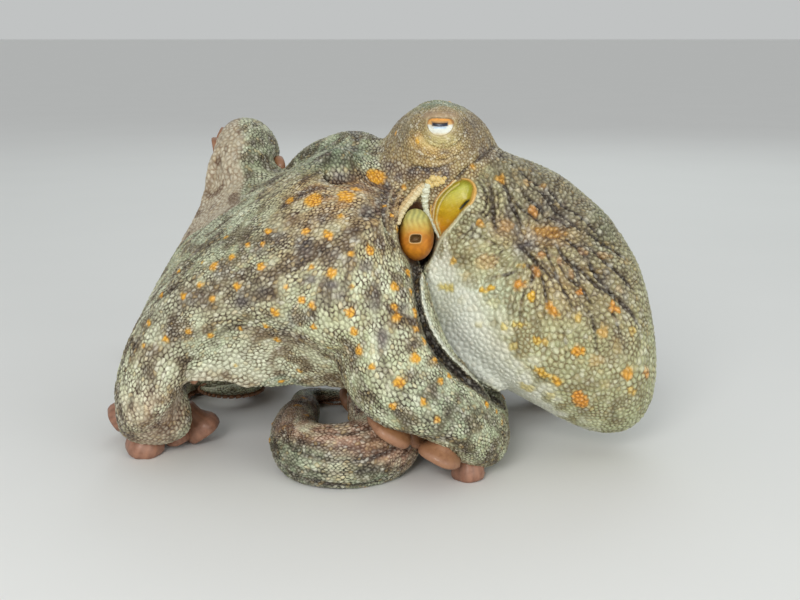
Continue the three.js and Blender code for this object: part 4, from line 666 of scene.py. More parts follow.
# the parts that the viewer can't see carry the same kinds of marks, strewn evenly
hidden = np.where((FACING < -0.12) | ((LAY['s'] > 190) & (w_mantle < .5)))[0]
upper_side = (LAY['oral'] < 0.15) | (w_mantle > 0.5) | (w_head > 0.5)
pick = RNG.permutation(hidden[upper_side[hidden]])
kept, grid = [], {}
for i in pick.tolist():
    p = V[i]; step = 17.0 if w_mantle[i] < .5 else 21.0
    key = (int(p[0] // 22), int(p[1] // 22), int(p[2] // 22))
    close = False
    for dx in (-1, 0, 1):
        for dy in (-1, 0, 1):
            for dz in (-1, 0, 1):
                for j in grid.get((key[0] + dx, key[1] + dy, key[2] + dz), ()):
                    if ((V[j] - p) ** 2).sum() < step * step: close = True
    if close: continue
    grid.setdefault(key, []).append(i); kept.append(i)
    if len(kept) > 700: break
for n_, i in enumerate(kept):
    rr = 1.3 + 0.9 * RNG.random(); q = min(1.0, LAY['r'][i] / 9) if w_mantle[i] < .5 and w_head[i] < .5 else 1.0
    if n_ % 3 < 2:
        idx, b = bell(i, rr * q, 0.25); spot[idx] = np.maximum(spot[idx], b * (0.5 + 0.5 * RNG.random())); raised[idx] = np.maximum(raised[idx], b * 0.6 * q)
    else:
        idx, b = bell(i, (5 + 4 * RNG.random()) * q); blot[idx] = np.maximum(blot[idx], b * (0.4 + 0.4 * RNG.random()))
print("marks", round(time.time() - T_START, 1), "s", len(kept))

# ====================================================================== direction of the grain, streaks along it
GRAIN = LAY['T'].copy()
GRAIN = net.blur(GRAIN, 30, 0.7); GRAIN = GRAIN - (GRAIN * NRM).sum(1)[:, None] * NRM
centre = V[np.argmin((PX - 527) ** 2 + (PY - 246) ** 2 + 40 * (FACING < 0.2))]
radial = V - centre; radial -= (radial * NRM).sum(1)[:, None] * NRM
GRAIN = unit(GRAIN) * (1 - w_mantle[:, None]) + unit(radial) * w_mantle[:, None]; GRAIN = unit(GRAIN)
edge = V[net.b] - V[net.a]; edge /= np.maximum(np.linalg.norm(edge, axis=1), 1e-9)[:, None]
align = ((edge * (GRAIN[net.a] + GRAIN[net.b]) / 2).sum(1)) ** 2
wgt = align ** 3 + 0.015
wsum = np.bincount(net.a, wgt, net.n) + np.bincount(net.b, wgt, net.n)
def along_grain(x, rounds):
    for _ in range(rounds):
        x = 0.25 * x + 0.75 * (np.bincount(net.a, wgt * x[net.b], net.n) + np.bincount(net.b, wgt * x[net.a], net.n)) / wsum
    return x
def even_out(x):
    x = x - net.blur(x, 14, 0.7); return x / (x.std() + 1e-9)
streak = along_grain(net.blur(RNG.normal(size=len(V)), 3, 0.6), 70); streak = net.blur(streak, 2, 0.5); streak = streak / streak.std()
streak2 = along_grain(RNG.normal(size=len(V)), 22); streak2 = net.blur(streak2, 2, 0.5); streak2 = streak2 / streak2.std()
cloud = net.blur(RNG.normal(size=len(V)), 60, 0.8); cloud = cloud / cloud.std()
cloud2 = net.blur(RNG.normal(size=len(V)), 18, 0.8); cloud2 = cloud2 / cloud2.std()

# ====================================================================== the seeds of the skin's cells
r_arm = LAY['r']; on_arm = (1 - w_mantle) * (1 - w_head)
under = smooth(0.25, 0.7, LAY['oral']) * on_arm * smooth(60, 120, LAY['s'])
gloss_side = (is_L2 & (PX < 262)) * smooth(246, 238, PX + 2.5 * np.sin(PY / 6)) * smooth(60, 95, V[:, 2]) * on_arm
under = np.maximum(under, gloss_side)
in_web = on_arm * smooth(1.5, 4.0, LAY['d_arm'])
gap_size = np.clip(r_arm * 0.13, 1.05, 1.5) * (1 + 0.16 * np.clip(cloud, -1.2, 1.2)) + 0.6 * under
gap_size = gap_size * on_arm + (2.15 + 0.3 * np.clip(cloud, -1, 1)) * w_mantle + 1.35 * w_head * (1 - w_mantle)
gap_size = np.clip(gap_size, 1.05, 2.9)
e_dist = np.minimum(np.linalg.norm(V - EYE_CENTRE, axis=1), np.linalg.norm(V - EYE_CENTRE * [1, -1, 1], axis=1))
gap_size = gap_size * (1 - 0.25 * smooth(26, 12, e_dist)) * (1 + 0.1 * np.clip(cloud2, -1.5, 1.5))
near_open = smooth(18, 3, np.abs(opening)) * w_mantle * near_side
gap_size = gap_size * (1 - 0.28 * near_open)
gap_size = np.where(is_R4 & (w_mantle < .5), gap_size * 0.86, gap_size); gap_size = np.maximum(gap_size, 1.02)
TREE = kdtree.KDTree(len(V))
VL = V.tolist()
for i, p in enumerate(VL): TREE.insert(p, i)
TREE.balance()
covered = bytearray(len(V)); seeds = []; gl = (gap_size * (0.93 + 0.14 * RNG.random(len(V)))).tolist()
for i in RNG.permutation(len(V)).tolist():
    if covered[i]: continue
    seeds.append(i)
    for _, j, _d in TREE.find_range(VL[i], gl[i]): covered[j] = 1
seeds = np.array(seeds); SV, SN = V[seeds], NRM[seeds]
print("seeds", len(seeds), round(time.time() - T_START, 1), "s")
ST = kdtree.KDTree(len(seeds))
for k, p in enumerate(SV.tolist()): ST.insert(p, k)
ST.balance()
FC = net.centres(V); K = 12
fn = np.empty((len(FC), K), np.int32)
for i, p in enumerate(FC.tolist()):
    fn[i] = [h[1] for h in ST.find_n(p, K)]
first_loop = net.lv[net.ls]
FN = NRM[first_loop]
stretch = 1 + (0.62 * on_arm * (1 - 0.4 * under) + 0.3 * w_mantle + 0.1 * w_head)
ANI = GRAIN * np.sqrt(1 - 1 / stretch ** 2)[:, None]
dv = SV[fn] - FC[:, None]; fa = ANI[first_loop]
d2 = (dv ** 2).sum(2) - (dv * fa[:, None]).sum(2) ** 2
d2 = d2 + 400.0 * ((SN[fn] * FN[:, None]).sum(2) < 0.15)
order = np.argsort(d2, axis=1)[:, :4]
NEAR4 = np.take_along_axis(fn, order, axis=1)
print("cells", round(time.time() - T_START, 1), "s")
# value of the cell pattern at each vertex: distance to the nearest wall, and the cell's own number
face_of = np.zeros(len(V), np.int64); face_of[net.lv] = net.lf
WARP = np.stack([np.sin(V[:, 1] * 1.9 + 1.3 * np.sin(V[:, 2] * 1.1)), np.sin(V[:, 2] * 1.7 + 1.2 * np.sin(V[:, 0] * 1.3)), np.sin(V[:, 0] * 1.8 + 1.1 * np.sin(V[:, 1] * 1.2))], 1) * 0.16
PW = V + WARP
c4 = NEAR4[face_of]; dd = SV[c4] - PW[:, None]; m2 = (dd ** 2).sum(2) - (dd * ANI[:, None]).sum(2) ** 2
o2 = np.argsort(m2, axis=1); n1 = np.take_along_axis(c4, o2[:, :1], 1)[:, 0]; best = np.take_along_axis(m2, o2, 1)
def wall(k):
    other = np.take_along_axis(c4, o2[:, k:k + 1], 1)[:, 0]; sep = SV[other] - SV[n1]
    ln = np.sqrt(np.maximum((sep ** 2).sum(1) - (sep * ANI).sum(1) ** 2, 1e-6))
    return (best[:, k] - best[:, 0]) / (2 * ln)
def soft_least(a, b, c):
    h = np.maximum(c - np.abs(a - b), 0) / c; return np.minimum(a, b) - h ** 3 * c / 6
WALL = soft_least(soft_least(wall(1), wall(2), 0.8 * gap_size), wall(3), 0.8 * gap_size)
CELL_RAND = RNG.random(len(seeds)); cell_r = CELL_RAND[n1]
size_here = gap_size
spot = 0.5 * spot + 0.5 * spot[seeds][n1]; pk = patch[seeds][n1]; better = pk > 0.15; patch_rgb[better] = patch_rgb[seeds][n1][better]; patch = 0.4 * patch + 0.6 * pk
dome = np.clip(WALL / (0.4 * size_here), 0, 1)
dome = 1 - (1 - dome) ** 2.2
fold = np.clip(wrinkle + crease, 0, 1)
height = (0.62 * on_arm * (1 - 0.5 * under) * np.clip(r_arm / 11, 0.35, 1) + 0.75 * w_mantle + 0.42 * w_head) * (1 - calm) * (0.55 + 0.75 * cell_r) * (1 - 0.5 * fold)
height = height * (1 - 0.55 * near_open) * (1 - 0.45 * smooth(0.30, 0.62, -LAY['mantle'][:, 2]) * w_mantle)
furrow = np.clip(-streak - 0.55, 0, 2.2) / 2.2
RELIEF = height * (dome - 0.45) + raised * 0.9 - 0.55 * furrow * on_arm * (1 - calm) * (1 - under) * np.clip(r_arm / 14, 0.2, 1) - 0.25 * furrow * w_mantle * (1 - calm)
V = V + NRM * RELIEF[:, None]
V[:, 2] = np.where(V[:, 2] < 0.6, 0.6 * np.exp((V[:, 2] - 0.6) / 0.6), V[:, 2])
print("relief done", round(time.time() - T_START, 1), "s")

# ====================================================================== colours of the skin
def rgb(r, g, b): return np.array([r, g, b]) / 255.0
def mix(a, b, t):
    t = np.clip(t, 0, 1)[:, None]; return a * (1 - t) + b * t
def linear(c):
    c = np.clip(c, 0, 1); return np.where(c <= 0.04045, c / 12.92, ((c + 0.055) / 1.055) ** 2.4)
NV = len(V)
top = np.tile(rgb(188, 192, 158), (NV, 1)); deep = np.tile(rgb(84, 74, 56), (NV, 1)); vary = np.full(NV, 1.0)
# arms: tan above, paler and pinker beneath, whitish toward the web margins
top = mix(top, rgb(172, 150, 118), 0.45 * np.clip(cloud * 0.5 + 0.3, 0, 1) * on_arm)
top = mix(top, rgb(206, 186, 168), 0.85 * under); deep = mix(deep, rgb(150, 122, 104), 0.85 * under)
inner = (LAY['oral'] > 0.0) * smooth(2.0, 4.0, LAY['d_arm']) * on_arm * (NRM[:, 2] < 0.1)
top = mix(top, rgb(178, 150, 128), 0.6 * inner)
ZONES = [
  (345, 455, 80, 40, .0, (150, 130, 126), (80, 62, 62)),  # centre and half sizes in px, strength, tops, grooves
  (350, 192, 64, 30, .95, (204, 146, 90), (92, 56, 34)), (388, 186, 20, 30, .7, (166, 114, 76), (62, 38, 28)), (396, 150, 26, 16, .5, (178, 140, 96), (76, 54, 40)), (300, 232, 42, 30, .55, (180, 148, 120), (92, 66, 56)), (385, 215, 22, 40, .6, (176, 138, 108), (78, 56, 50)), (240, 290, 66, 34, .45, (202, 182, 162), (96, 74, 66)),
  (165, 330, 45, 50, .6, (206, 186, 168), (104, 82, 74)), (205, 225, 60, 36, .55, (198, 204, 190), (92, 92, 84)), (145, 280, 30, 40, .5, (196, 200, 186), (92, 92, 84)), (270, 366, 84, 30, .85, (226, 228, 204), (120, 112, 86)),
  (215, 355, 40, 22, .6, (208, 212, 190), (110, 112, 92)), (380, 285, 36, 40, .5, (212, 206, 170), (120, 104, 82)), (410, 330, 22, 50, .55, (220, 214, 184), (116, 102, 82)), (440, 395, 60, 40, .55, (186, 190, 166), (78, 68, 54)), (238, 150, 34, 60, .5, (152, 142, 118), (68, 62, 50)),
  (350, 330, 50, 40, .4, (206, 200, 162), (112, 96, 76)), (330, 158, 60, 20, .8, (122, 142, 118), (54, 62, 52)), (290, 155, 30, 20, .5, (168, 166, 144), (90, 92, 80)), (150, 395, 34, 26, .55, (212, 196, 180), (112, 92, 84)),
  (470, 430, 40, 14, .5, (190, 196, 170), (86, 84, 66)), (345, 250, 60, 26, .45, (196, 168, 126), (84, 60, 46)),
  (152, 414, 44, 24, .75, (208, 180, 158), (120, 88, 76)), (345, 205, 56, 30, .3, (158, 124, 84), (74, 52, 38)), (170, 322, 36, 46, .35, (152, 154, 134), (74, 74, 64)),
  (245, 160, 26, 40, .35, (140, 152, 130), (66, 72, 60)), (440, 412, 50, 30, .35, (146, 158, 138), (52, 58, 50)),
]
for x, y, ax, ay, k, ct, cd in ZONES:
    f = k * np.exp(-(((PX - x) / ax) ** 2 + ((PY - y) / ay) ** 2) ** 1.3) * front * on_arm
    top = mix(top, rgb(*ct), f); deep = mix(deep, rgb(*cd), f)
r4u = is_R4 * smooth(0.2, -0.5, LAY['side'] * 0 + (PY - 455) / 20 + (PX - 350) / 90) * on_arm * front * (PY > 400)
r4 = is_R4 * on_arm * 1.0
top = mix(top, rgb(136, 142, 122), 0.8 * r4); deep = mix(deep, rgb(46, 50, 44), 0.8 * r4)
r4u = is_R4 * on_arm * front * smooth(464, 442, PY - 0.28 * (PX - 340)) * (PY > 395); top = mix(top, rgb(196, 152, 134), 0.95 * r4u); deep = mix(deep, rgb(124, 90, 78), 0.95 * r4u)
for x, y in ((375, 448), (340, 470)): top = mix(top, rgb(196, 142, 96), 0.55 * r4 * np.exp(-((PX - x) ** 2 + (PY - y) ** 2) / 160.0))
top = mix(top, rgb(196, 182, 160), 0.9 * gloss_side); deep = mix(deep, rgb(168, 150, 128), 0.9 * gloss_side)
# mantle
L = LAY['mantle']; low = -L[:, 2]
mt = np.tile(rgb(190, 186, 144), (NV, 1)); md = np.tile(rgb(116, 108, 80), (NV, 1))
height01 = smooth(60, 130, V[:, 2])
mt = mix(mt, rgb(172, 162, 128), height01); md = mix(md, rgb(84, 72, 54), height01)
mt = mix(mt, rgb(196, 190, 146), smooth(0.1, 0.5, low)); md = mix(md, rgb(138, 128, 94), smooth(0.1, 0.5, low))
white = smooth(0.30, 0.62, low + 0.10 * np.clip(cloud2, -1, 1))
mt = mix(mt, rgb(238, 241, 228), white); md = mix(md, rgb(208, 212, 194), white)
MZ = [(466, 330, 38, 60, .97, (242, 246, 238), (214, 222, 212)), (438, 292, 18, 44, .95, (238, 242, 226), (196, 200, 178)), (486, 360, 26, 18, .6, (236, 242, 232), (206, 212, 200)), (600, 250, 34, 50, .6, (156, 142, 108), (72, 62, 48)), (530, 330, 46, 34, .5, (206, 194, 148), (146, 130, 92)),
      (600, 375, 50, 34, .6, (192, 176, 128), (126, 106, 70)), (556, 208, 44, 32, .7, (150, 132, 106), (62, 50, 44)), (520, 172, 34, 24, .65, (142, 126, 100), (62, 50, 42)), (604, 215, 14, 36, .35, (128, 138, 114), (56, 60, 50)), (492, 215, 24, 34, .8, (204, 190, 146), (96, 84, 60)),
      (485, 262, 26, 18, .5, (208, 192, 140), (120, 104, 72)), (545, 275, 30, 22, .45, (198, 172, 124), (104, 84, 62)), (500, 300, 34, 26, .5, (208, 208, 176), (138, 134, 106)), (462, 215, 20, 26, .45, (200, 192, 152), (100, 90, 70)), (475, 250, 26, 22, .7, (208, 200, 158), (118, 106, 76)), (580, 288, 46, 36, .7, (206, 168, 116), (84, 58, 40)), (545, 236, 36, 13, .75, (206, 152, 88), (78, 48, 30)), (500, 226, 12, 14, .5, (196, 148, 104), (70, 50, 42)), (620, 320, 24, 46, .4, (186, 156, 112), (98, 74, 54))]
MZ += [(602, 282, 36, 46, .35, (138, 134, 102), (64, 56, 44)), (598, 382, 50, 32, .3, (168, 164, 124), (110, 102, 76))]
for x, y, ax, ay, k, ct, cd in MZ:
    f = k * np.exp(-(((PX - x) / ax) ** 2 + ((PY - y) / ay) ** 2) ** 1.3) * front
    mt = mix(mt, rgb(*ct), f); md = mix(md, rgb(*cd), f)
top = mix(top, mt, w_mantle); deep = mix(deep, md, w_mantle)
# head
ht = np.tile(rgb(176, 152, 108), (NV, 1)); hd = np.tile(rgb(96, 70, 50), (NV, 1))
BX = np.where(V[:, 1] > 0, FX, PX); BY = np.where(V[:, 1] > 0, FY, PY)
HZ = [(438, 153, 32, 16, .85, (214, 176, 112), (124, 80, 48)), (404, 130, 15, 18, .75, (140, 122, 94), (68, 52, 42)), (438, 102, 54, 9, .75, (124, 148, 118), (66, 84, 66)), (418, 141, 9, 8, .85, (224, 166, 88), (134, 84, 44)), (452, 150, 14, 8, .4, (214, 178, 118), (130, 90, 58)), (472, 132, 16, 20, .8, (132, 108, 82), (62, 46, 38)),
      (396, 165, 18, 22, .5, (168, 144, 118), (82, 62, 54)), (420, 174, 26, 7, .7, (120, 92, 78), (60, 42, 38)), (462, 160, 16, 10, .4, (186, 166, 124), (90, 70, 56)), (441, 141, 22, 8, .9, (216, 198, 144), (150, 122, 82)), (430, 150, 10, 6, .6, (224, 180, 112), (136, 92, 54)),
      (440, 116, 26, 9, .5, (164, 138, 112), (100, 78, 62))]
for x, y, ax, ay, k, ct, cd in HZ:
    f = k * np.exp(-(((BX - x) / ax) ** 2 + ((BY - y) / ay) ** 2) ** 1.3)
    ht = mix(ht, rgb(*ct), f); hd = mix(hd, rgb(*cd), f)
ht = ht * np.array([0.95, 0.985, 0.93]); soft_head = net.blur(w_head, 36, 0.8); soft_head = np.where((front > 0.5) & (V[:, 1] < -8), 0.5 * w_head + 0.5 * soft_head, soft_head); top = mix(top, ht, soft_head); deep = mix(deep, hd, soft_head)
# streaks, painted shade in the folds, blotches, spots
dark_streak = np.clip(furrow * 1.9 + 0.45 * np.clip(-streak2 - 0.6, 0, 1), 0, 1)
top = mix(top, top * rgb(132, 112, 100), 0.9 * dark_streak * on_arm * (1 - under)); deep = mix(deep, deep * rgb(160, 140, 130), 0.8 * dark_streak * on_arm * (1 - under))
pale_streak = np.clip(streak - 0.5, 0, 1.3) / 1.3
top = mix(top, rgb(228, 228, 206), 0.75 * pale_streak * on_arm * (1 - under) * (1 - 0.6 * np.clip(blot, 0, 1)))
top = mix(top, top * rgb(168, 160, 150), 0.6 * dark_streak * w_mantle * (1 - white))
top = mix(top, top * rgb(158, 136, 118), 0.8 * np.clip(-cloud2 - 0.3, 0, 1) * (1 - white * w_mantle) * (0.45 + 0.55 * on_arm)); deep = mix(deep, deep * rgb(150, 124, 110), 0.8 * np.clip(-cloud2 - 0.3, 0, 1) * on_arm)
top = mix(top, rgb(230, 228, 204), 0.42 * np.clip(cloud2 - 0.3, 0, 1) * on_arm * (1 - under))
# painted shade: the wrinkles and creases are darkened toward dark brown, as the shade in the folds
top = mix(top, top * rgb(84, 66, 56), 0.92 * smooth(0.12, 0.72, fold)); deep = mix(deep, deep * rgb(96, 80, 72), 0.92 * smooth(0.06, 0.6, fold))
rb = ribs * (1 - white * w_mantle); top = mix(top, top * rgb(176, 146, 112), 0.6 * rb); deep = mix(deep, deep * rgb(140, 130, 122), 0.85 * rb)
top = mix(top, top * rgb(130, 116, 108), 0.8 * lines); deep = mix(deep, deep * rgb(140, 126, 118), 0.85 * lines)
bk = np.clip(blot * 1.3, 0, 1) * (0.8 + 0.25 * np.clip(cloud2, -1, 1)); top = mix(top, rgb(94, 82, 84), 0.85 * bk); deep = mix(deep, rgb(48, 41, 46), 0.9 * bk)
grade_a, grade_m = np.array([0.975, 1.005, 0.965]), np.array([0.96, 1.01, 1.01]); dark_a, dark_m = np.array([0.78, 0.70, 0.61]), np.array([0.88, 0.82, 0.72])
gk = (on_arm * (1 - 0.5 * under))[:, None]; gm = (w_mantle * (1 - white))[:, None]
top = top * (1 - gk + gk * grade_a) * (1 - gm + gm * grade_m); deep = deep * (1 - gk + gk * dark_a) * (1 - gm + gm * dark_m)
sp = np.clip(spot * 1.15, 0, 1)
yellow = smooth(0.55, 0.2, low) * w_mantle
top = mix(top, mix(np.tile(rgb(232, 168, 34), (NV, 1)), rgb(230, 184, 78), 0.5 * w_mantle), 0.95 * smooth(0.15, 0.6, sp)); deep = mix(deep, rgb(176, 112, 34), 0.85 * smooth(0.15, 0.6, sp))
pm = smooth(0.1, 0.75, patch)[:, None] * np.clip(patch, 0, 1)[:, None]
top = top * (1 - 0.92 * pm) + patch_rgb / 255.0 * 0.92 * pm; deep = deep * (1 - 0.8 * pm) + patch_rgb / 255.0 * np.array([0.70, 0.60, 0.50]) * 0.8 * pm
# features of the front
t_leaf = np.clip((PY - 181) / 56, 0, 1)
lf = np.tile(rgb(176, 178, 64), (NV, 1)); lf = mix(lf, rgb(204, 172, 40), smooth(0.1, 0.55, t_leaf)); lf = mix(lf, rgb(206, 132, 20), smooth(0.5, 1.0, t_leaf))
lf = mix(lf, rgb(222, 214, 110), 0.35 * smooth(5, 10, opening) * smooth(0.6, 0.2, t_leaf)); lf = mix(lf, rgb(150, 96, 16), 0.5 * smooth(3.0, 0.0, opening))
fine_lines = 0.5 + 0.5 * np.sin(PY * 2.6 + PX * 1.1 + 1.5 * np.sin(PX * 0.35)); lf = mix(lf, lf * rgb(225, 215, 190), 0.35 * fine_lines)
top = mix(top, lf, leaf_in); deep = mix(deep, lf * 0.9, leaf_in)
def daub(mask, c, k=1.0, groove=0.8):
    global top, deep
    top = mix(top, rgb(*c), k * mask); deep = mix(deep, rgb(*c) * groove, k * mask)
# painted shade: the pit round the funnel is coloured dark brown, near black low down where it is deepest
pit_shade = pit
top = mix(top, mix(np.tile(rgb(122, 84, 60), (NV, 1)), rgb(44, 30, 22), smooth(205, 219, PY)), pit_shade); deep = mix(deep, top * 0.8, pit_shade)
daub(smooth(0.35, 0.85, FEAT['border']) * smooth(262, 280, PY), (228, 234, 218), 0.85, 0.85)
daub(smooth(0.3, 0.8, FEAT['cheek']), (206, 178, 130), 0.6); daub(smooth(0.3, 0.8, FEAT['strand']), (200, 190, 160), 0.6)
daub(smooth(0.35, 0.75, FEAT['left_lip']), (226, 206, 158), 0.95)
daub(smooth(0.35, 0.7, FEAT['strip']), (226, 228, 212), 0.95, 0.86)
orange_line = np.exp(-((opening + 1.6) / 0.8) ** 2) * (PX < 455) * near_side
daub(smooth(0.35, 0.75, FEAT['rim_a']), (222, 212, 164)); daub(smooth(0.35, 0.75, FEAT['rim_b']), (218, 206, 140)); daub(orange_line, (196, 122, 34), 0.75)
daub(smooth(0.3, 0.7, FEAT['lip']), (214, 164, 84), 0.9); daub(smooth(0.3, 0.8, FEAT['edge']), (214, 212, 180), 0.85)
# the knob keeps its own colour; painted shade: the slot at the lower right of the opening is coloured near black
daub(smooth(0.3, 0.7, knob), (228, 208, 140), 0.95); daub(smooth(0.3, 0.8, gap), (40, 44, 48), 0.95)
# the lower bag and the upper lid keep their own colours; the socket skin under the eyeball is coloured near black,
# painted shade in the crevice round the ball
daub(np.clip(bag, 0, 1), (194, 180, 132), 0.35); daub(np.clip(lid * 1.1, 0, 1), (166, 136, 116), 0.5); daub(socket, (36, 30, 28), 1.0)
# painted shade: the gap between the web and the mantle, in shadow behind them, is coloured dark brown
daub(in_gap * (V[:, 1] < 30), (50, 42, 34), 0.96, 0.45)
calm = np.clip(calm, 0, 1)
# how strongly the cell pattern and the cells' own tones show
rough_bed = np.clip(1 - calm, 0, 1)
whitish = np.clip(white * w_mantle + w_mantle * front * np.exp(-(((PX - 466) / 38) ** 2 + ((PY - 330) / 60) ** 2) ** 1.3), 0, 1)
vary *= (1 - 0.8 * calm) * (1 - 0.35 * under) * (1 - 0.6 * whitish) * (1 - 0.25 * w_mantle) * (1 - 0.85 * np.clip(np.maximum(spot * 1.4, patch), 0, 1))
rough_bed = rough_bed * (1 - 0.4 * whitish) * (1 - 0.12 * w_mantle) * (1 - 0.3 * w_head * front * smooth(60, 30, np.hypot(PX - 438, (PY - 140) * 1.3)))
me = skin.data
put(me, V)
def attr(name, kind, data, domain='POINT'):
    a = me.attributes.new(name, kind, domain)
    if kind == 'FLOAT_COLOR':
        data = np.hstack([data, np.ones((len(data), 1))]); a.data.foreach_set("color", np.ascontiguousarray(data, np.float32).ravel())
    elif kind == 'FLOAT_VECTOR': a.data.foreach_set("vector", np.ascontiguousarray(data, np.float32).ravel())
    else: a.data.foreach_set("value", np.ascontiguousarray(data, np.float32))
attr("top", 'FLOAT_COLOR', linear(top)); attr("deep", 'FLOAT_COLOR', linear(deep))
attr("wp", 'FLOAT_VECTOR', PW); attr("aniso", 'FLOAT_VECTOR', ANI)
attr("bed", 'FLOAT', rough_bed); attr("vary", 'FLOAT', vary); attr("cell", 'FLOAT', size_here)
for k in range(4): attr("s%d" % (k + 1), 'FLOAT_VECTOR', SV[NEAR4[:, k]], 'FACE')
me.polygons.foreach_set("use_smooth", np.ones(len(me.polygons), bool)); me.update()
print("colours", round(time.time() - T_START, 1), "s")

# ====================================================================== materials
class Graph:
    def __init__(self, name):
        self.m = bpy.data.materials.new(name); self.m.use_nodes = True; self.t = self.m.node_tree; self.t.nodes.clear()
        self.out = self.t.nodes.new("ShaderNodeOutputMaterial"); self.b = self.t.nodes.new("ShaderNodeBsdfPrincipled"); self.t.links.new(self.b.outputs[0], self.out.inputs[0])
    def put(self, sock, v):
        if isinstance(v, bpy.types.NodeSocket): self.t.links.new(v, sock)
        elif v is not None: sock.default_value = v
    def math(self, op, a, b=None, c=None, clamp=False):
        n = self.t.nodes.new("ShaderNodeMath"); n.operation = op; n.use_clamp = clamp
        for s, v in zip(n.inputs, (a, b, c)): self.put(s, v)
        return n.outputs[0]
    def vec(self, op, a, b=None, c=None):
        n = self.t.nodes.new("ShaderNodeVectorMath"); n.operation = op
        if op == 'SCALE': self.put(n.inputs[0], a); self.put(n.inputs['Scale'], b)
        else:
            for s, v in zip(n.inputs, (a, b, c)): self.put(s, v)
        return n.outputs['Value'] if op in ('DOT_PRODUCT', 'LENGTH', 'DISTANCE') else n.outputs['Vector']
    def attr(self, name, out='Vector'):
        n = self.t.nodes.new("ShaderNodeAttribute"); n.attribute_name = name; return n.outputs[out]
    def step(self, x, lo, hi, a=0.0, b=1.0):
        n = self.t.nodes.new("ShaderNodeMapRange"); n.interpolation_type = 'SMOOTHSTEP'
        for k, v in zip(('Value', 'From Min', 'From Max', 'To Min', 'To Max'), (x, lo, hi, a, b)): self.put(n.inputs[k], v)
        return n.outputs[0]
    def mix(self, a, b, f, kind='RGBA', blend='MIX'):
        n = self.t.nodes.new("ShaderNodeMix"); n.data_type = kind; n.blend_type = blend if kind == 'RGBA' else 'MIX'
        s = {'RGBA': ('A_Color', 'B_Color'), 'FLOAT': ('A_Float', 'B_Float')}[kind]
        ins = {i.identifier: i for i in n.inputs}
        self.put(ins['Factor_Float'], f); self.put(ins[s[0]], a); self.put(ins[s[1]], b)
        return [o for o in n.outputs if o.identifier == ('Result_Color' if kind == 'RGBA' else 'Result_Float')][0]
    def noise(self, scale, detail=3.0, rough=0.55, vec=None, out=0):
        n = self.t.nodes.new("ShaderNodeTexNoise"); n.inputs['Scale'].default_value = scale; n.inputs['Detail'].default_value = detail; n.inputs['Roughness'].default_value = rough
        if vec is not None: self.put(n.inputs['Vector'], vec)
        return n.outputs[out]
    def bump(self, height, dist, strength=1.0, normal=None):
        n = self.t.nodes.new("ShaderNodeBump"); n.inputs['Distance'].default_value = dist; n.inputs['Strength'].default_value = strength
        self.put(n.inputs['Height'], height)
        if normal is not None: self.put(n.inputs['Normal'], normal)
        return n.outputs[0]
    def set(self, **kw):
        for k, v in kw.items(): self.put(self.b.inputs[k.replace('_', ' ')], v)
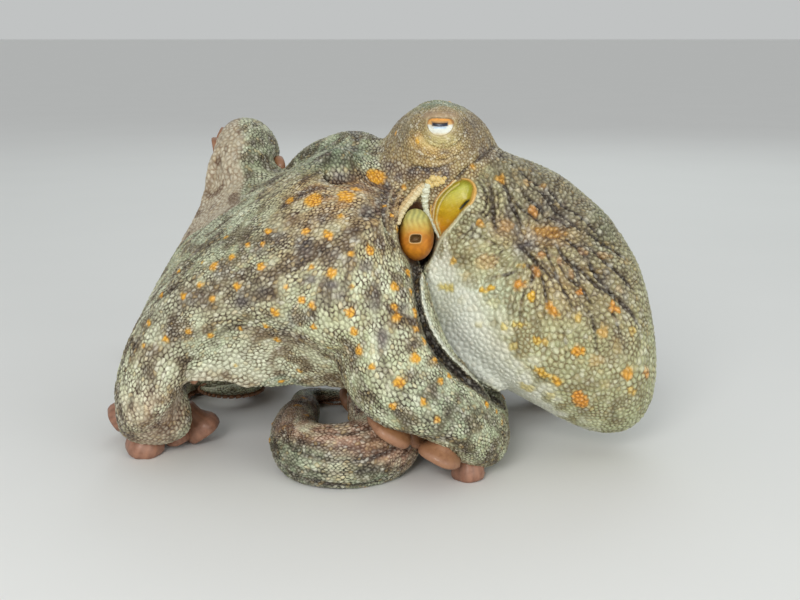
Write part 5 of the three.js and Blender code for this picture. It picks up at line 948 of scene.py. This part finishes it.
def skin_material():
    g = Graph("skin"); wp, an = g.attr("wp"), g.attr("aniso")
    S = [g.attr("s%d" % k) for k in (1, 2, 3, 4)]
    def metric(v): return g.math('SUBTRACT', g.vec('DOT_PRODUCT', v, v), g.math('POWER', g.math('ABSOLUTE', g.vec('DOT_PRODUCT', v, an)), 2.0))
    D = [metric(g.vec('SUBTRACT', s, wp)) for s in S]
    F = g.math('MINIMUM', g.math('MINIMUM', D[0], D[1]), g.math('MINIMUM', D[2], D[3])); F1 = g.math('ADD', F, 1e-5)
    IS = [g.math('LESS_THAN', d, F1) for d in D]; N = None
    for s, i in zip(S, IS):
        v = g.vec('SCALE', s, i); N = v if N is None else g.vec('ADD', N, v)
    W = None; cell = g.attr("cell", 'Fac')
    for s, d, i in zip(S, D, IS):
        ln = g.math('SQRT', g.math('MAXIMUM', metric(g.vec('SUBTRACT', s, N)), 1e-4))
        w = g.math('ADD', g.math('DIVIDE', g.math('SUBTRACT', d, F), g.math('MULTIPLY', ln, 2.0)), g.math('MULTIPLY', i, 100.0))
        W = w if W is None else g.math('SMOOTH_MIN', W, w, g.math('MULTIPLY', cell, 0.8))
    rnd = g.t.nodes.new("ShaderNodeTexWhiteNoise"); rnd.noise_dimensions = '3D'; g.put(rnd.inputs['Vector'], g.vec('SCALE', N, 3.17))
    r1 = rnd.outputs['Value']; sep = g.t.nodes.new("ShaderNodeSeparateColor"); g.put(sep.inputs[0], rnd.outputs['Color']); r2, r3 = sep.outputs[0], sep.outputs[1]
    bed, vary = g.attr("bed", 'Fac'), g.attr("vary", 'Fac')
    rel = g.math('DIVIDE', W, g.math('MULTIPLY', cell, 0.41))
    groove = g.math('MULTIPLY', g.step(rel, 0.0, 0.36, 1.0, 0.0), bed)
    groove = g.math('MULTIPLY', groove, g.math('MULTIPLY', g.step(g.noise(0.9, 2.0, 0.5, wp), 0.3, 0.62, 0.35, 1.0), g.step(g.noise(0.13, 2.0, 0.6, g.vec('ADD', wp, (9.0, 3.0, 21.0))), 0.34, 0.62, 0.4, 1.0)))
    top, deep = g.attr("top", 'Color'), g.attr("deep", 'Color')
    # each cell has its own tone: some whitish, some yellow, some brown
    tone = g.math('MULTIPLY_ADD', g.math('SUBTRACT', r1, 0.5), g.math('MULTIPLY', vary, 0.36), 1.0)
    shade = g.t.nodes.new("ShaderNodeCombineColor"); 
    for k in range(3): g.put(shade.inputs[k], tone)
    col = g.mix(top, shade.outputs[0], 1.0, blend='MULTIPLY')
    col = g.mix(col, (0.76, 0.75, 0.64, 1), g.math('MULTIPLY', g.math('MULTIPLY', g.step(r2, 0.6, 0.95, 0.0, 0.46), g.step(g.noise(0.16, 2.0, 0.6, wp), 0.38, 0.62, 0.25, 1.0)), vary))
    col = g.mix(col, (0.62, 0.43, 0.16, 1), g.math('MULTIPLY', g.step(r3, 0.84, 0.97, 0.0, 0.30), vary))
    col = g.mix(col, (0.27, 0.20, 0.16, 1), g.math('MULTIPLY', g.math('MULTIPLY', g.step(r3, 0.24, 0.04, 0.0, 0.38), g.step(g.noise(0.2, 2.0, 0.6, g.vec('ADD', wp, (37.0, 11.0, 5.0))), 0.4, 0.62, 0.15, 1.0)), vary))
    centre = g.math('MULTIPLY', g.step(rel, 0.35, 1.0, 0.0, 0.22), bed)
    col = g.mix(col, (0.86, 0.84, 0.74, 1), centre)
    fleck = g.step(g.noise(2.4, 3.0, 0.6, wp), 0.42, 0.66, 0.0, 1.0)
    col = g.mix(col, g.mix(col, (0.55, 0.47, 0.40, 1), 1.0, blend='MULTIPLY'), g.math('MULTIPLY', fleck, 0.35))
    col = g.mix(col, deep, groove)
    h = g.math('MULTIPLY', g.step(rel, 0.0, 0.62), bed)
    h = g.math('ADD', g.math('MULTIPLY', h, g.math('MULTIPLY', cell, 0.22)), g.math('MULTIPLY', g.noise(2.2, 3.0, 0.6, wp), 0.10))
    h = g.math('ADD', h, g.math('MULTIPLY', g.noise(0.55, 2.0, 0.5, wp), 0.16))
    nrm = g.bump(h, 0.001, 0.75)
    rough = g.math('MULTIPLY_ADD', groove, 0.2, g.math('MULTIPLY_ADD', bed, 0.12, 0.36))
    g.set(Base_Color=col, Roughness=rough, Normal=nrm)
    g.b.inputs['Specular IOR Level'].default_value = 0.42
    g.b.inputs['Coat Weight'].default_value = 0.12; g.b.inputs['Coat Roughness'].default_value = 0.3
    return g.m
skin_mat = skin_material()

# ====================================================================== eyes
def grid_piece(name, P, closed_u=True, smooth_shade=True):
    """points and quads of a piece from rows of points, each row closed round; the poles are left open"""
    nr, nc = P.shape[:2]; F = []
    i, j = np.meshgrid(np.arange(nr - 1), np.arange(nc), indexing='ij'); k = (j + 1) % nc
    return P.reshape(-1, 3), np.stack([i * nc + j, i * nc + k, (i + 1) * nc + k, (i + 1) * nc + j], -1).reshape(-1, 4)
def build(name, V, quads, caps=()):
    """closed body of quads and cap fans, V in design mm"""
    me = bpy.data.meshes.new(name); faces = [tuple(q) for q in quads.tolist()] + [tuple(c) for c in caps]
    me.from_pydata([tuple(p) for p in to_row(V)], [], faces); me.update()
    o = bpy.data.objects.new(name, me); bpy.context.scene.collection.objects.link(o)
    me.polygons.foreach_set("use_smooth", np.ones(len(me.polygons), bool))
    return o
def paint(o, **data):
    for n, d in data.items():
        d = np.asarray(d, float)
        if d.ndim == 2:
            a = o.data.attributes.new(n, 'FLOAT_COLOR', 'POINT'); a.data.foreach_set("color", np.hstack([linear(d), np.ones((len(d), 1))]).astype(np.float32).ravel())
        else:
            a = o.data.attributes.new(n, 'FLOAT', 'POINT'); a.data.foreach_set("value", d.astype(np.float32))
def rings_to_quads(nr, nc):
    i, j = np.meshgrid(np.arange(nr - 1), np.arange(nc), indexing='ij'); k = (j + 1) % nc
    return np.stack([i * nc + j, i * nc + k, (i + 1) * nc + k, (i + 1) * nc + j], -1).reshape(-1, 4)
def eye_piece(name, sd):
    axis = unit(C_POS - EYE_CENTRE); right = unit(np.cross(C_FWD, C_UP)); right = unit(right - (right @ axis) * axis); up = np.cross(axis, right) * -1
    if up @ C_UP < 0: up = -up
    nc = 176; th = np.concatenate([np.linspace(0.004, 1.05, 92), np.linspace(1.09, math.pi - 0.05, 22)])
    a = 2 * math.pi * np.arange(nc) / nc
    D = np.cos(th)[:, None, None] * axis + np.sin(th)[:, None, None] * (np.cos(a)[None, :, None] * right + np.sin(a)[None, :, None] * up)
    P = EYE_CENTRE + D * EYE_RADIUS; shp = P.shape; P = P.reshape(-1, 3)
    x, y = project(P)
    sag = 0.9 * (1 - ((x - 440) / 8.5) ** 2)
    slit = np.minimum(smooth(0.0, 0.9, 8.2 - np.abs(x - 439.9)), smooth(0.0, 0.9, 1.9 - np.abs(y - 123.9 - sag)))
    ridge = np.exp(-((np.maximum(np.abs(x - 439.9) - 7.6, np.abs(y - 123.6 - sag) - 1.8)) / 0.9) ** 2) * (1 - slit)
    ang = np.arctan2(y - 125, x - 440)
    rays = 0.5 + 0.5 * np.sin(ang * 46 + 1.7 * np.sin(ang * 11)) * np.sin(np.hypot(x - 440, y - 125) * 1.7 + ang * 5)
    col = np.tile(rgb(200, 152, 88), (len(P), 1))
    col = mix(col, rgb(212, 142, 60), smooth(121.8, 119.5, y)); col = mix(col, rgb(232, 180, 108), 0.5 * rays * smooth(123, 119, y))
    white_ = smooth(124.2, 126.6, y + 0.02 * (x - 440) ** 2 * 0.35)
    col = mix(col, rgb(226, 226, 212), white_); col = mix(col, rgb(196, 206, 208), 0.6 * white_ * rays); col = mix(col, rgb(206, 190, 150), smooth(131.5, 136, y + 0.01 * (x - 440) ** 2))
    col = mix(col, rgb(170, 196, 222), 0.8 * np.exp(-((y - 127.6) / 1.1) ** 2) * smooth(8, 5, np.abs(x - 440)))
    col = mix(col, rgb(120, 84, 52), 0.6 * smooth(11.5, 14, np.hypot((x - 440), (y - 126) * 1.3)))
    # the slit is dark navy; painted highlight: its lower right is coloured a lighter blue, as a reflection in it
    col = mix(col, rgb(12, 18, 40), slit); col = mix(col, rgb(40, 78, 140), 0.5 * slit * smooth(124.2, 126.4, y) * smooth(432, 444, x))
    col = mix(col, rgb(60, 44, 40), 0.35 * ridge)
    P = P - (P - EYE_CENTRE) / EYE_RADIUS * (0.45 * slit)[:, None] + (P - EYE_CENTRE) / EYE_RADIUS * (0.10 * ridge * (1 - slit) + 0.04 * rays * (1 - slit))[:, None]
    if sd > 0: P = P * [1, -1, 1]
    nr = shp[0]; q = rings_to_quads(nr, nc); caps = [tuple(range(nc)), tuple(range((nr - 1) * nc, nr * nc))[::-1]]
    if sd < 0: q = q[:, ::-1]; caps = [c[::-1] for c in caps]
    o = build(name, P, q, caps); paint(o, tint=col, wet=1 - 0.5 * slit)
    return o
def tinted(name, rough, coat, spec, bump_scale, bump_mm, streaky=0.0):
    g = Graph(name); c = g.attr("tint", 'Color'); tc = g.t.nodes.new("ShaderNodeTexCoord"); p = g.vec('SCALE', tc.outputs['Object'], 1000.0)
    n = g.noise(bump_scale, 4.0, 0.6, p); n2 = g.noise(bump_scale * 0.35, 3.0, 0.55, p)
    col = g.mix(c, g.mix(c, (0.66, 0.56, 0.5, 1), 1.0, blend='MULTIPLY'), g.math('MULTIPLY', g.step(n2, 0.42, 0.72), 0.4 + streaky))
    col = g.mix(col, g.mix(col, (1.25, 1.22, 1.15, 1), 1.0, blend='MULTIPLY'), g.math('MULTIPLY', g.step(n, 0.5, 0.75), 0.35))
    g.set(Base_Color=col, Roughness=g.math('MULTIPLY_ADD', n, 0.2, rough - 0.1), Normal=g.bump(n, 0.001 * bump_mm, 1.0))
    g.b.inputs['Coat Weight'].default_value = coat; g.b.inputs['Coat Roughness'].default_value = 0.08; g.b.inputs['Specular IOR Level'].default_value = spec
    return g.m
eye_mat = tinted("eye", 0.38, 0.15, 0.4, 1.6, 0.05)
eyes = {"eye_left": eye_piece("eyeball_left", -1), "eye_right": eye_piece("eyeball_right", 1)}

# ====================================================================== strap, lip and knob at the corner of the opening
def strap_piece():
    parts, cols = Solids(), []
    def lay(line, radii, color, out, wob=0.0, flat=0.75):
        base_line = np.array([cast(x, y, out) for x, y in line]); depth = np.array([(q - C_POS) @ C_FWD for q in base_line])
        depth = np.interp(np.arange(len(depth)), np.arange(len(depth)), np.convolve(np.pad(depth, 1, mode='edge'), [0.25, 0.5, 0.25], 'valid'))
        pts = np.array([C_POS + (q - C_POS) * (d / ((q - C_POS) @ C_FWD)) for q, d in zip(base_line, depth)])
        q = curve_through(pts, 14); s_ = arcs(q); way = np.interp(np.arange(len(pts)), np.arange(len(q)) / 14.0, s_)
        x = np.linspace(0, s_[-1], max(10, int(s_[-1] / 0.3))); r = np.interp(x, way, radii) * (1 + wob * (np.sin(x * 2.3) + 0.6 * np.sin(x * 5.1 + 1)))
        q = sample(q, s_, x); T = unit(np.gradient(q, axis=0)); W = unit(np.cross(T, C_FWD)); U = np.cross(T, W)
        if U.mean(0) @ C_FWD < 0: U = -U
        q = q + W * (wob * 0.8 * np.sin(x * 1.7))[:, None]
        v, f = tube(q, r, U, W, 20, flat, 1.0); k = len(v); parts.add(v, f)
        c = np.tile(rgb(*color), (k, 1)); g_ = 0.5 + 0.5 * np.sin(np.arange(k) * 0.9) * np.sin(np.arange(k) * 0.013); cols.append(mix(c, c * rgb(214, 200, 176), 0.6 * g_))
    lay([(428, 184), (426, 191), (424.8, 200), (426, 210), (429.5, 219), (434, 228), (439.5, 238.5)], [1.4, 1.9, 1.65, 1.4, 1.15, 0.9, 0.5], (222, 228, 210), 1.1, 0.10)
    lay([(431, 205), (430.6, 214), (433, 224), (438, 236)], [0.3, 0.55, 0.55, 0.3], (214, 176, 92), 0.7, 0.03)
    lay([(425, 185), (419, 191.5), (412.5, 199), (406, 207), (401, 215.5), (398.4, 224)], [1.3, 1.75, 1.6, 1.4, 1.25, 0.9], (224, 212, 174), 0.7, 0.11)
    lay([(423, 183.5), (415.5, 190.5), (408.6, 198.5), (402, 207), (397.4, 216)], [0.9, 1.3, 1.3, 1.2, 0.8], (206, 182, 136), 0.25, 0.12)
    for x, y, rr in ((428.5, 181.8, 2.6), (433.2, 178.4, 2.9), (438.2, 178.8, 2.6), (442, 181.6, 2.5), (436.5, 183.6, 2.8), (431.5, 185.4, 2.3), (427, 187.2, 2.0), (421.5, 188.6, 1.9), (418.0, 193.6, 1.8), (444.5, 178.2, 1.7), (415.0, 197.2, 1.3)):
        def lump(d, x=x, y=y): return 1 + 0.10 * np.sin(d[:, 0] * 9 + x) + 0.08 * np.sin(d[:, 1] * 8 + y)
        v, f = ellipsoid(cast(x, y, 0.3), XYZ, (rr * 0.62, rr * 0.42, rr * 0.56), 22, 16, lump); parts.add(v, f)
        c = np.tile(rgb(214, 194, 136), (len(v), 1)); cols.append(mix(c, rgb(206, 168, 88), np.clip(0.5 + 0.5 * np.sin(v[:, 0] * 4 + v[:, 2] * 3), 0, 1) * 0.5))
    o = mesh_object("strap", np.vstack(parts.v), parts.f); o.data.polygons.foreach_set("use_smooth", np.ones(len(o.data.polygons), bool)); paint(o, tint=np.vstack(cols)); return o
strap = strap_piece()
# ====================================================================== funnel: an egg with a squarish bore
def funnel_piece():
    nc = 112; a = 2 * math.pi * np.arange(nc) / nc; rows, tint = [], []
    Yc = -37.0
    def place(u, v, yy): return at(415.6 + 1.06 * u, 235.0 + v, yy)     # u, v in px
    def squarish(a, rx, ry, n, lean=0.0):
        c, s = np.cos(a), np.sin(a); k = (np.abs(c) ** n + np.abs(s) ** n) ** (-1 / n)
        u, v = rx * c * k, ry * s * k; return u + lean * v, v
    hole = (-0.1, 3.6)
    # bore from its bottom to the lip, then over the egg to its back
    # painted shade: the bore is coloured dark brown, darkest at its bottom
    for t in np.linspace(0, 1, 9):
        u, v = squarish(a, 3.0 + 2.0 * t, 2.4 + 1.5 * t, 4.2, -0.12); rows.append(np.stack([place(hole[0] + x, hole[1] + y + 0.0, Yc + 2.2 - 2.9 * t) for x, y in zip(u, v)])); tint.append(np.tile(rgb(112, 86, 50) * (1 - t) + rgb(128, 96, 54) * t, (nc, 1)))
    for t, w in ((0.35, 0.6), (0.7, 1.2), (1.0, 1.9)):
        u, v = squarish(a, 5.0 + w, 3.9 + w, 3.6, -0.10); dy = -0.7 - 0.75 * math.sin(math.pi * min(1, t * 0.8)); rows.append(np.stack([place(hole[0] + x, hole[1] + y, Yc + dy) for x, y in zip(u, v)]))
        tint.append(np.tile(rgb(212, 182, 132) if t < 0.6 else rgb(192, 128, 48), (nc, 1)))
    eggs = np.linspace(0.0, 1.0, 44)[1:]
    for e in eggs:
        th = 0.42 + e * (2.5 - 0.42)           # angle from the front of the egg
        big = math.sin(th); k = smooth(0.42, 1.1, th)
        cx, cy = hole[0] * (1 - k), hole[1] * (1 - k)
        top_r = 26.4 * big; bot_r = 25.6 * big
        c, s = np.cos(a), np.sin(a)
        if th < math.pi / 2:
            f = (th - 0.42) / (math.pi / 2 - 0.42); f = math.sin(f * math.pi / 2)
            n = 3.4 - 1.3 * f
            kk = (np.abs(c) ** n + np.abs(s) ** n) ** (-1 / n)
            rx = 8.0 + (17.2 - 8.0) * f; ry = np.where(s < 0, 6.9 + (26.4 - 6.9) * f, 6.9 + (25.6 - 6.9) * f)
            rx = rx * (1 + 0.05 * np.where(s > 0, s, 0) - 0.10 * np.where(s < 0, -s, 0) * f)
            u, v = rx * c * kk, ry * s * kk; cy = hole[1] * (1 - f); yy = Yc - 0.7 + 8.6 * (1 - math.cos((th - 0.42) / (math.pi / 2 - 0.42) * math.pi / 2)) 
        else:
            f = big; u, v = 17.2 * c * f * (1 + 0.05 * np.where(s > 0, s, 0) - 0.10 * np.where(s < 0, -s, 0)), np.where(s < 0, 26.4, 25.6) * s * f; yy = Yc - 0.7 + 8.6 + 10 * (-math.cos(th)); cy = 0
        rows.append(np.stack([place(cx + x, cy + y, yy) for x, y in zip(u, v)]))
        P = rows[-1]; x, y = project(P); t = np.clip((y - 208) / 53, 0, 1)
        col = np.tile(rgb(158, 158, 96), (nc, 1)); col = mix(col, rgb(190, 150, 60), smooth(0.12, 0.42, t)); col = mix(col, rgb(194, 122, 30), smooth(0.36, 0.62, t)); col = mix(col, rgb(164, 98, 30), smooth(0.8, 1.0, t))
        # mottling low on the egg; painted shade: its left and right flanks, as seen, are darkened as the shading of its
        # rounded sides
        mot = 0.5 + 0.5 * np.sin(x * 0.9 + 2.1 * np.sin(y * 0.31)) * np.sin(y * 0.55 + 1.3 * np.sin(x * 0.4)); col = mix(col, col * rgb(206, 186, 150), 0.5 * mot * smooth(0.3, 0.6, t)); col = mix(col, col * rgb(190, 170, 140), 0.6 * smooth(10, 17, np.abs(x - 415.6)))
        veins = (0.5 + 0.5 * np.sin(x * 1.15 + 1.6 * np.sin(y * 0.35) + 0.8)) * smooth(0.5, 0.15, t); col = mix(col, rgb(214, 204, 120), 0.65 * veins)
        col = mix(col, rgb(222, 148, 24), 0.4 * np.exp(-((x - 414) ** 2 + (y - 250) ** 2) / 90))
        tint.append(col)
    P = np.stack(rows); nr = len(rows); q = rings_to_quads(nr, nc)
    o = build("funnel_body", P.reshape(-1, 3), q, [tuple(range(nc))[::-1], tuple(range((nr - 1) * nc, nr * nc))])
    paint(o, tint=np.concatenate(tint)); return o
funnel = funnel_piece()
funnel_mat = tinted("funnel", 0.58, 0.04, 0.35, 0.8, 0.2, 0.15)
strap_mat = tinted("strap", 0.5, 0.1, 0.4, 1.6, 0.15)
for o in (funnel, strap, *eyes.values()):
    bmx = bmesh.new(); bmx.from_mesh(o.data); bmesh.ops.recalc_face_normals(bmx, faces=bmx.faces[:]); bmx.to_mesh(o.data); bmx.free()

# ====================================================================== suckers, two rows along each arm
CUP = np.array([(0.50, -1.1), (0.58, -0.35), (0.78, -0.02), (0.95, 0.22), (1.03, 0.50), (1.02, 0.78), (0.94, 0.98), (0.80, 1.02), (0.62, 0.88), (0.44, 0.74), (0.31, 0.66), (0.25, 0.25), (0.20, -0.25)])
def cup(c, n, R, H, seg, lean=0.0, flare=0.0, u0=0.0):
    """one sucker: flared rim, folded bowl, deep hole; c base centre, n direction it opens to"""
    n = unit(n); a0 = unit(np.cross(n, [0.31, 0.22, 0.92])); a1 = np.cross(n, a0); t = 2 * math.pi * np.arange(seg) / seg + u0
    prof = CUP if seg > 10 else CUP[[0, 2, 3, 5, 7, 9, 10, 12]]
    pr, ph = prof[:, 0].copy(), prof[:, 1]; pr[ph > 0.4] *= 1 + flare * (ph[ph > 0.4] - 0.4)
    wave = 1 + (0.035 * np.sin(3 * t + u0 * 5) + 0.03 * np.sin(5 * t + u0 * 3))[None] * smooth(0.6, 0.95, pr)[:, None]
    folds = (0.05 * np.cos(t * (seg // 2)))[None] * (np.exp(-((pr - 0.62) / 0.16) ** 2) * (np.arange(len(pr)) > len(pr) // 2))[:, None]
    P = c + (pr[:, None] * wave * R)[..., None] * (np.cos(t)[None, :, None] * a0 + np.sin(t)[None, :, None] * a1) + ((ph[:, None] + folds) * H)[..., None] * n
    k = np.arange(len(pr)) / (len(pr) - 1.0)
    return P, k
def sucker_rows(A, start=46.0, scale=1.0, big=None):
    Vs, Qs, Caps, tint, off = [], [], [], [], 0
    rng = np.random.default_rng(77 + len(A['name']) * 13 + ord(A['name'][0]) + int(A['name'][1]))
    rows = {1: start, -1: start + 4.0}
    items = []
    for row, s in rows.items():
        while s < A['L'] * 0.985:
            r = float(np.interp(s, A['s'], A['r'])); grow = scale * (1 + (big(s) if big else 0))
            R = max(0.42, 0.37 * r * grow); items.append((s, row, r, R)); s += 2.02 * max(R / (1.0 if grow < 1.2 else 1.08), 0.45)
    for s, row, r, R in items:
        q, O, S, T = (sample(A[x], A['s'], s)[0] for x in 'qOST'); O, S = unit(O), unit(S)
        flat = 0.82 - 0.2 * float(smooth(50, 110, s))
        lift = q[2] - 0.8 * r                                   # how far the arm is off the floor
        H = (0.17 + 0.12 * min(1.0, max(0.0, lift / (0.5 * r)))) * r * (1.0 if R < 0.4 * r else 1.1)
        if A['name'] == 'L4' and s < 240: H *= 0.74
        side = 0.44 * row
        base = q + O * (r * flat * 0.955 * math.sqrt(max(0.2, 1 - side * side * 0.75))) + S * (side * r)
        n = unit(O + S * row * (0.22 if lift < 0.2 * r else 0.42))
        look = -(n @ C_FWD)
        if A['name'] in ('L3', 'L4', 'R4') and s < 240 and base[2] < 60 and look > -0.18: n = unit(n + C_FWD * (look + 0.18) - np.array([0, 0, 0.35]))
        if A['name'] == 'L3' and base[2] < 80:             # the foot's own spread suckers are laid below
            bx, by = project(base[None])
            if 116 < bx[0] < 216 and 376 < by[0] < 462 and base[1] < 25: continue
        if A['name'] in ('L4', 'R4') and base[2] > 30 and base[1] < 40:
            bx, by = project(base[None])
            if bx[0] < 378 and by[0] < 403: continue
        seg = 22 if R > 3.0 else 16 if R > 1.7 else 9
        P, k = cup(base, n, R * (1 + 0.05 * rng.normal()), H, seg, flare=0.12, u0=rng.random() * 6)
        P[..., 2] = np.maximum(P[..., 2], 0.12)
        nr = len(k); Vs.append(P.reshape(-1, 3)); Qs.append(rings_to_quads(nr, seg) + off)
        Caps += [tuple(range(off, off + seg)), tuple(range(off + (nr - 1) * seg, off + nr * seg))[::-1]]; off += nr * seg
        w = rng.random(); outer = rgb(138, 96, 62) * (1 - w) + rgb(150, 108, 78) * w
        # painted shade: the innermost ring, down in the hole, is coloured dark brown
        ring = np.where(k < 0.3, 0, np.where(k < 0.52, 1, np.where(k < 0.78, 2, 3)))
        cols = np.array([outer, rgb(152, 110, 82), rgb(150, 112, 90) * (0.95 + 0.1 * w), rgb(84, 58, 48)])[ring]
        tint.append(np.repeat(cols, seg, axis=0))
    P = np.vstack(Vs)
    o = build("suckers_" + A['name'], P, np.vstack([q for q in Qs]), Caps); paint(o, tint=np.vstack(tint)); return o, len(items)
def on_height(x, y, z):
    d = C_FWD + np.array([1.0, 0, 0]) * (x - 400) / CAM_F + C_UP * (300 - y) / CAM_F
    return C_POS + d * ((z - C_POS[2]) / d[2])
BIG = {'L3': lambda s: 0.1 * math.exp(-((s - 165) / 40) ** 2), 'L4': lambda s: 0.22 * math.exp(-((s - 150) / 55) ** 2)}
sucker_objects = []; count = 0
for n, A in ARM.items():
    o, k = sucker_rows(A, big=BIG.get(n)); sucker_objects.append(o); count += k
# the spread suckers that show beside the feet of the two near arms
def spread_set(name, cups):
    Vs, Qs, Caps, tint, off = [], [], [], [], 0
    for c, n, R, H, fl in cups:
        seg = 40; P, k = cup(np.array(c, float), n, R, H, seg, flare=fl, u0=R)
        P[..., 2] = np.maximum(P[..., 2], 0.12); nr = len(k); Vs.append(P.reshape(-1, 3)); Qs.append(rings_to_quads(nr, seg) + off)
        Caps += [tuple(range(off, off + seg)), tuple(range(off + (nr - 1) * seg, off + nr * seg))[::-1]]; off += nr * seg
        lines = 0.5 + 0.5 * np.cos(np.arange(seg) * 2 * math.pi * 13 / seg)
        # painted shade: the innermost ring, down in the hole, is coloured dark brown
        ring = np.where(k < 0.22, 0, np.where(k < 0.52, 1, np.where(k < 0.78, 2, 3)))
        base_c = np.array([rgb(136, 94, 70), rgb(160, 116, 94), rgb(158, 118, 100), rgb(74, 52, 44)])[ring]
        cc = base_c[:, None] * (1 - 0.12 * lines[None, :, None]) ; tint.append(cc.reshape(-1, 3))
    o = build(name, np.vstack(Vs), np.vstack(Qs), Caps); paint(o, tint=np.vstack(tint)); return o
SPREAD = [
  (on_height(196, 420, 12.0), (0.55, 0.10, -0.80), 9.4, 8.5, 0.05), (on_height(148, 437, 9.0), (-0.35, 0.05, -0.93), 9.4, 9.5, 0.0), (on_height(128, 413, 14.0), (-0.85, 0.05, -0.5), 7.6, 8.0, 0.0),
  (on_height(175, 432, 8.0), (0.2, 0.1, -0.97), 6.2, 5.5, 0.0), (on_height(468, 460, 9.0), (0.05, 0.05, -0.99), 7.6, 8.5, 0.1),
]
sucker_objects.append(spread_set("suckers_spread", SPREAD))
sucker_mat = tinted("suckers", 0.5, 0.1, 0.45, 0.9, 0.16, 0.25)
for o in sucker_objects:
    bmx = bmesh.new(); bmx.from_mesh(o.data); bmesh.ops.recalc_face_normals(bmx, faces=bmx.faces[:]); bmx.to_mesh(o.data); bmx.free()
print("suckers", count, round(time.time() - T_START, 1), "s")

# ====================================================================== covers, slots, bake maps
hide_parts(*[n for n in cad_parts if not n.startswith("eye") and n not in ("funnel", "mantle_collar")]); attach(skin, "root")
skin.data.materials.append(skin_mat)
for node, o in eyes.items():
    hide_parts(node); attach(o, "root"); o.data.materials.append(eye_mat)
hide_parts("mantle_collar"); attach(strap, "root"); strap.data.materials.append(strap_mat)
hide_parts("funnel"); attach(funnel, "root"); funnel.data.materials.append(funnel_mat)
def bake_map(o):
    for x in bpy.context.selected_objects: x.select_set(False)
    bpy.context.view_layer.objects.active = o; o.select_set(True)
    if "OFBake" not in o.data.uv_layers: o.data.uv_layers.new(name="OFBake")
    o.data.uv_layers.active = o.data.uv_layers["OFBake"]
    bpy.ops.object.mode_set(mode='EDIT'); bpy.ops.mesh.select_all(action='SELECT')
    bpy.ops.uv.smart_project(angle_limit=1.15, island_margin=0.0008, area_weight=0, correct_aspect=True, scale_to_bounds=False)
    bpy.ops.object.mode_set(mode='OBJECT'); o.select_set(False)
for o in sucker_objects:
    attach(o, "root"); o.data.materials.append(sucker_mat)
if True: bake_map(skin)

# ====================================================================== stage, light, camera
def stage_material():
    g = Graph("floor"); tc = g.t.nodes.new("ShaderNodeTexCoord"); n = g.noise(6.0, 2.0, 0.5, tc.outputs['Object'])
    g.set(Base_Color=g.mix((0.78, 0.78, 0.77, 1), (0.81, 0.81, 0.80, 1), n), Roughness=0.75); return g.m
floor = from_arrays("floor", np.array([[-40, -6, 0], [40, -6, 0], [40, 90, 0], [-40, 90, 0]], float), np.array([[0, 1, 2, 3]]))
floor.data.materials.append(stage_material())
def area(name, pos, target, size, power, color=(1, 1, 1)):
    l = bpy.data.lights.new(name, 'AREA'); l.shape = 'DISK'; l.size = size; l.energy = power; l.color = color
    o = bpy.data.objects.new(name, l); bpy.context.scene.collection.objects.link(o)
    o.location = pos; o.rotation_euler = (Vector(target) - Vector(pos)).to_track_quat('-Z', 'Y').to_euler()
    return o
area("key", (-0.30, -1.25, 0.62), (0, -0.05, 0.08), 0.5, 8.8, (1, 0.99, 0.96))
area("fill", (0.9, -1.2, 0.35), (0, 0, 0.08), 1.0, 6.5, (0.97, 1, 0.98))
area("back", (0.3, 1.3, 1.2), (0, 0, 0.1), 1.2, 4, (0.9, 1, 0.98))
world = bpy.data.worlds.new("world"); bpy.context.scene.world = world; world.use_nodes = True
world.node_tree.nodes["Background"].inputs[0].default_value = (0.86, 0.88, 0.88, 1)
world.node_tree.nodes["Background"].inputs[1].default_value = 0.62
bpy.context.scene.view_settings.view_transform = 'Standard'
cam = bpy.data.cameras.new("camera"); cam.sensor_width = 36; cam.lens = 36 * CAM_F / 800
camera = bpy.data.objects.new("camera", cam); bpy.context.scene.collection.objects.link(camera)
camera.location = Vector(to_row(C_POS)); camera.rotation_euler = (math.radians(90) - CAM_EL, 0, 0)
bpy.context.scene.camera = camera
bpy.context.view_layer.update()
print("scene", round(time.time() - T_START, 1), "s")
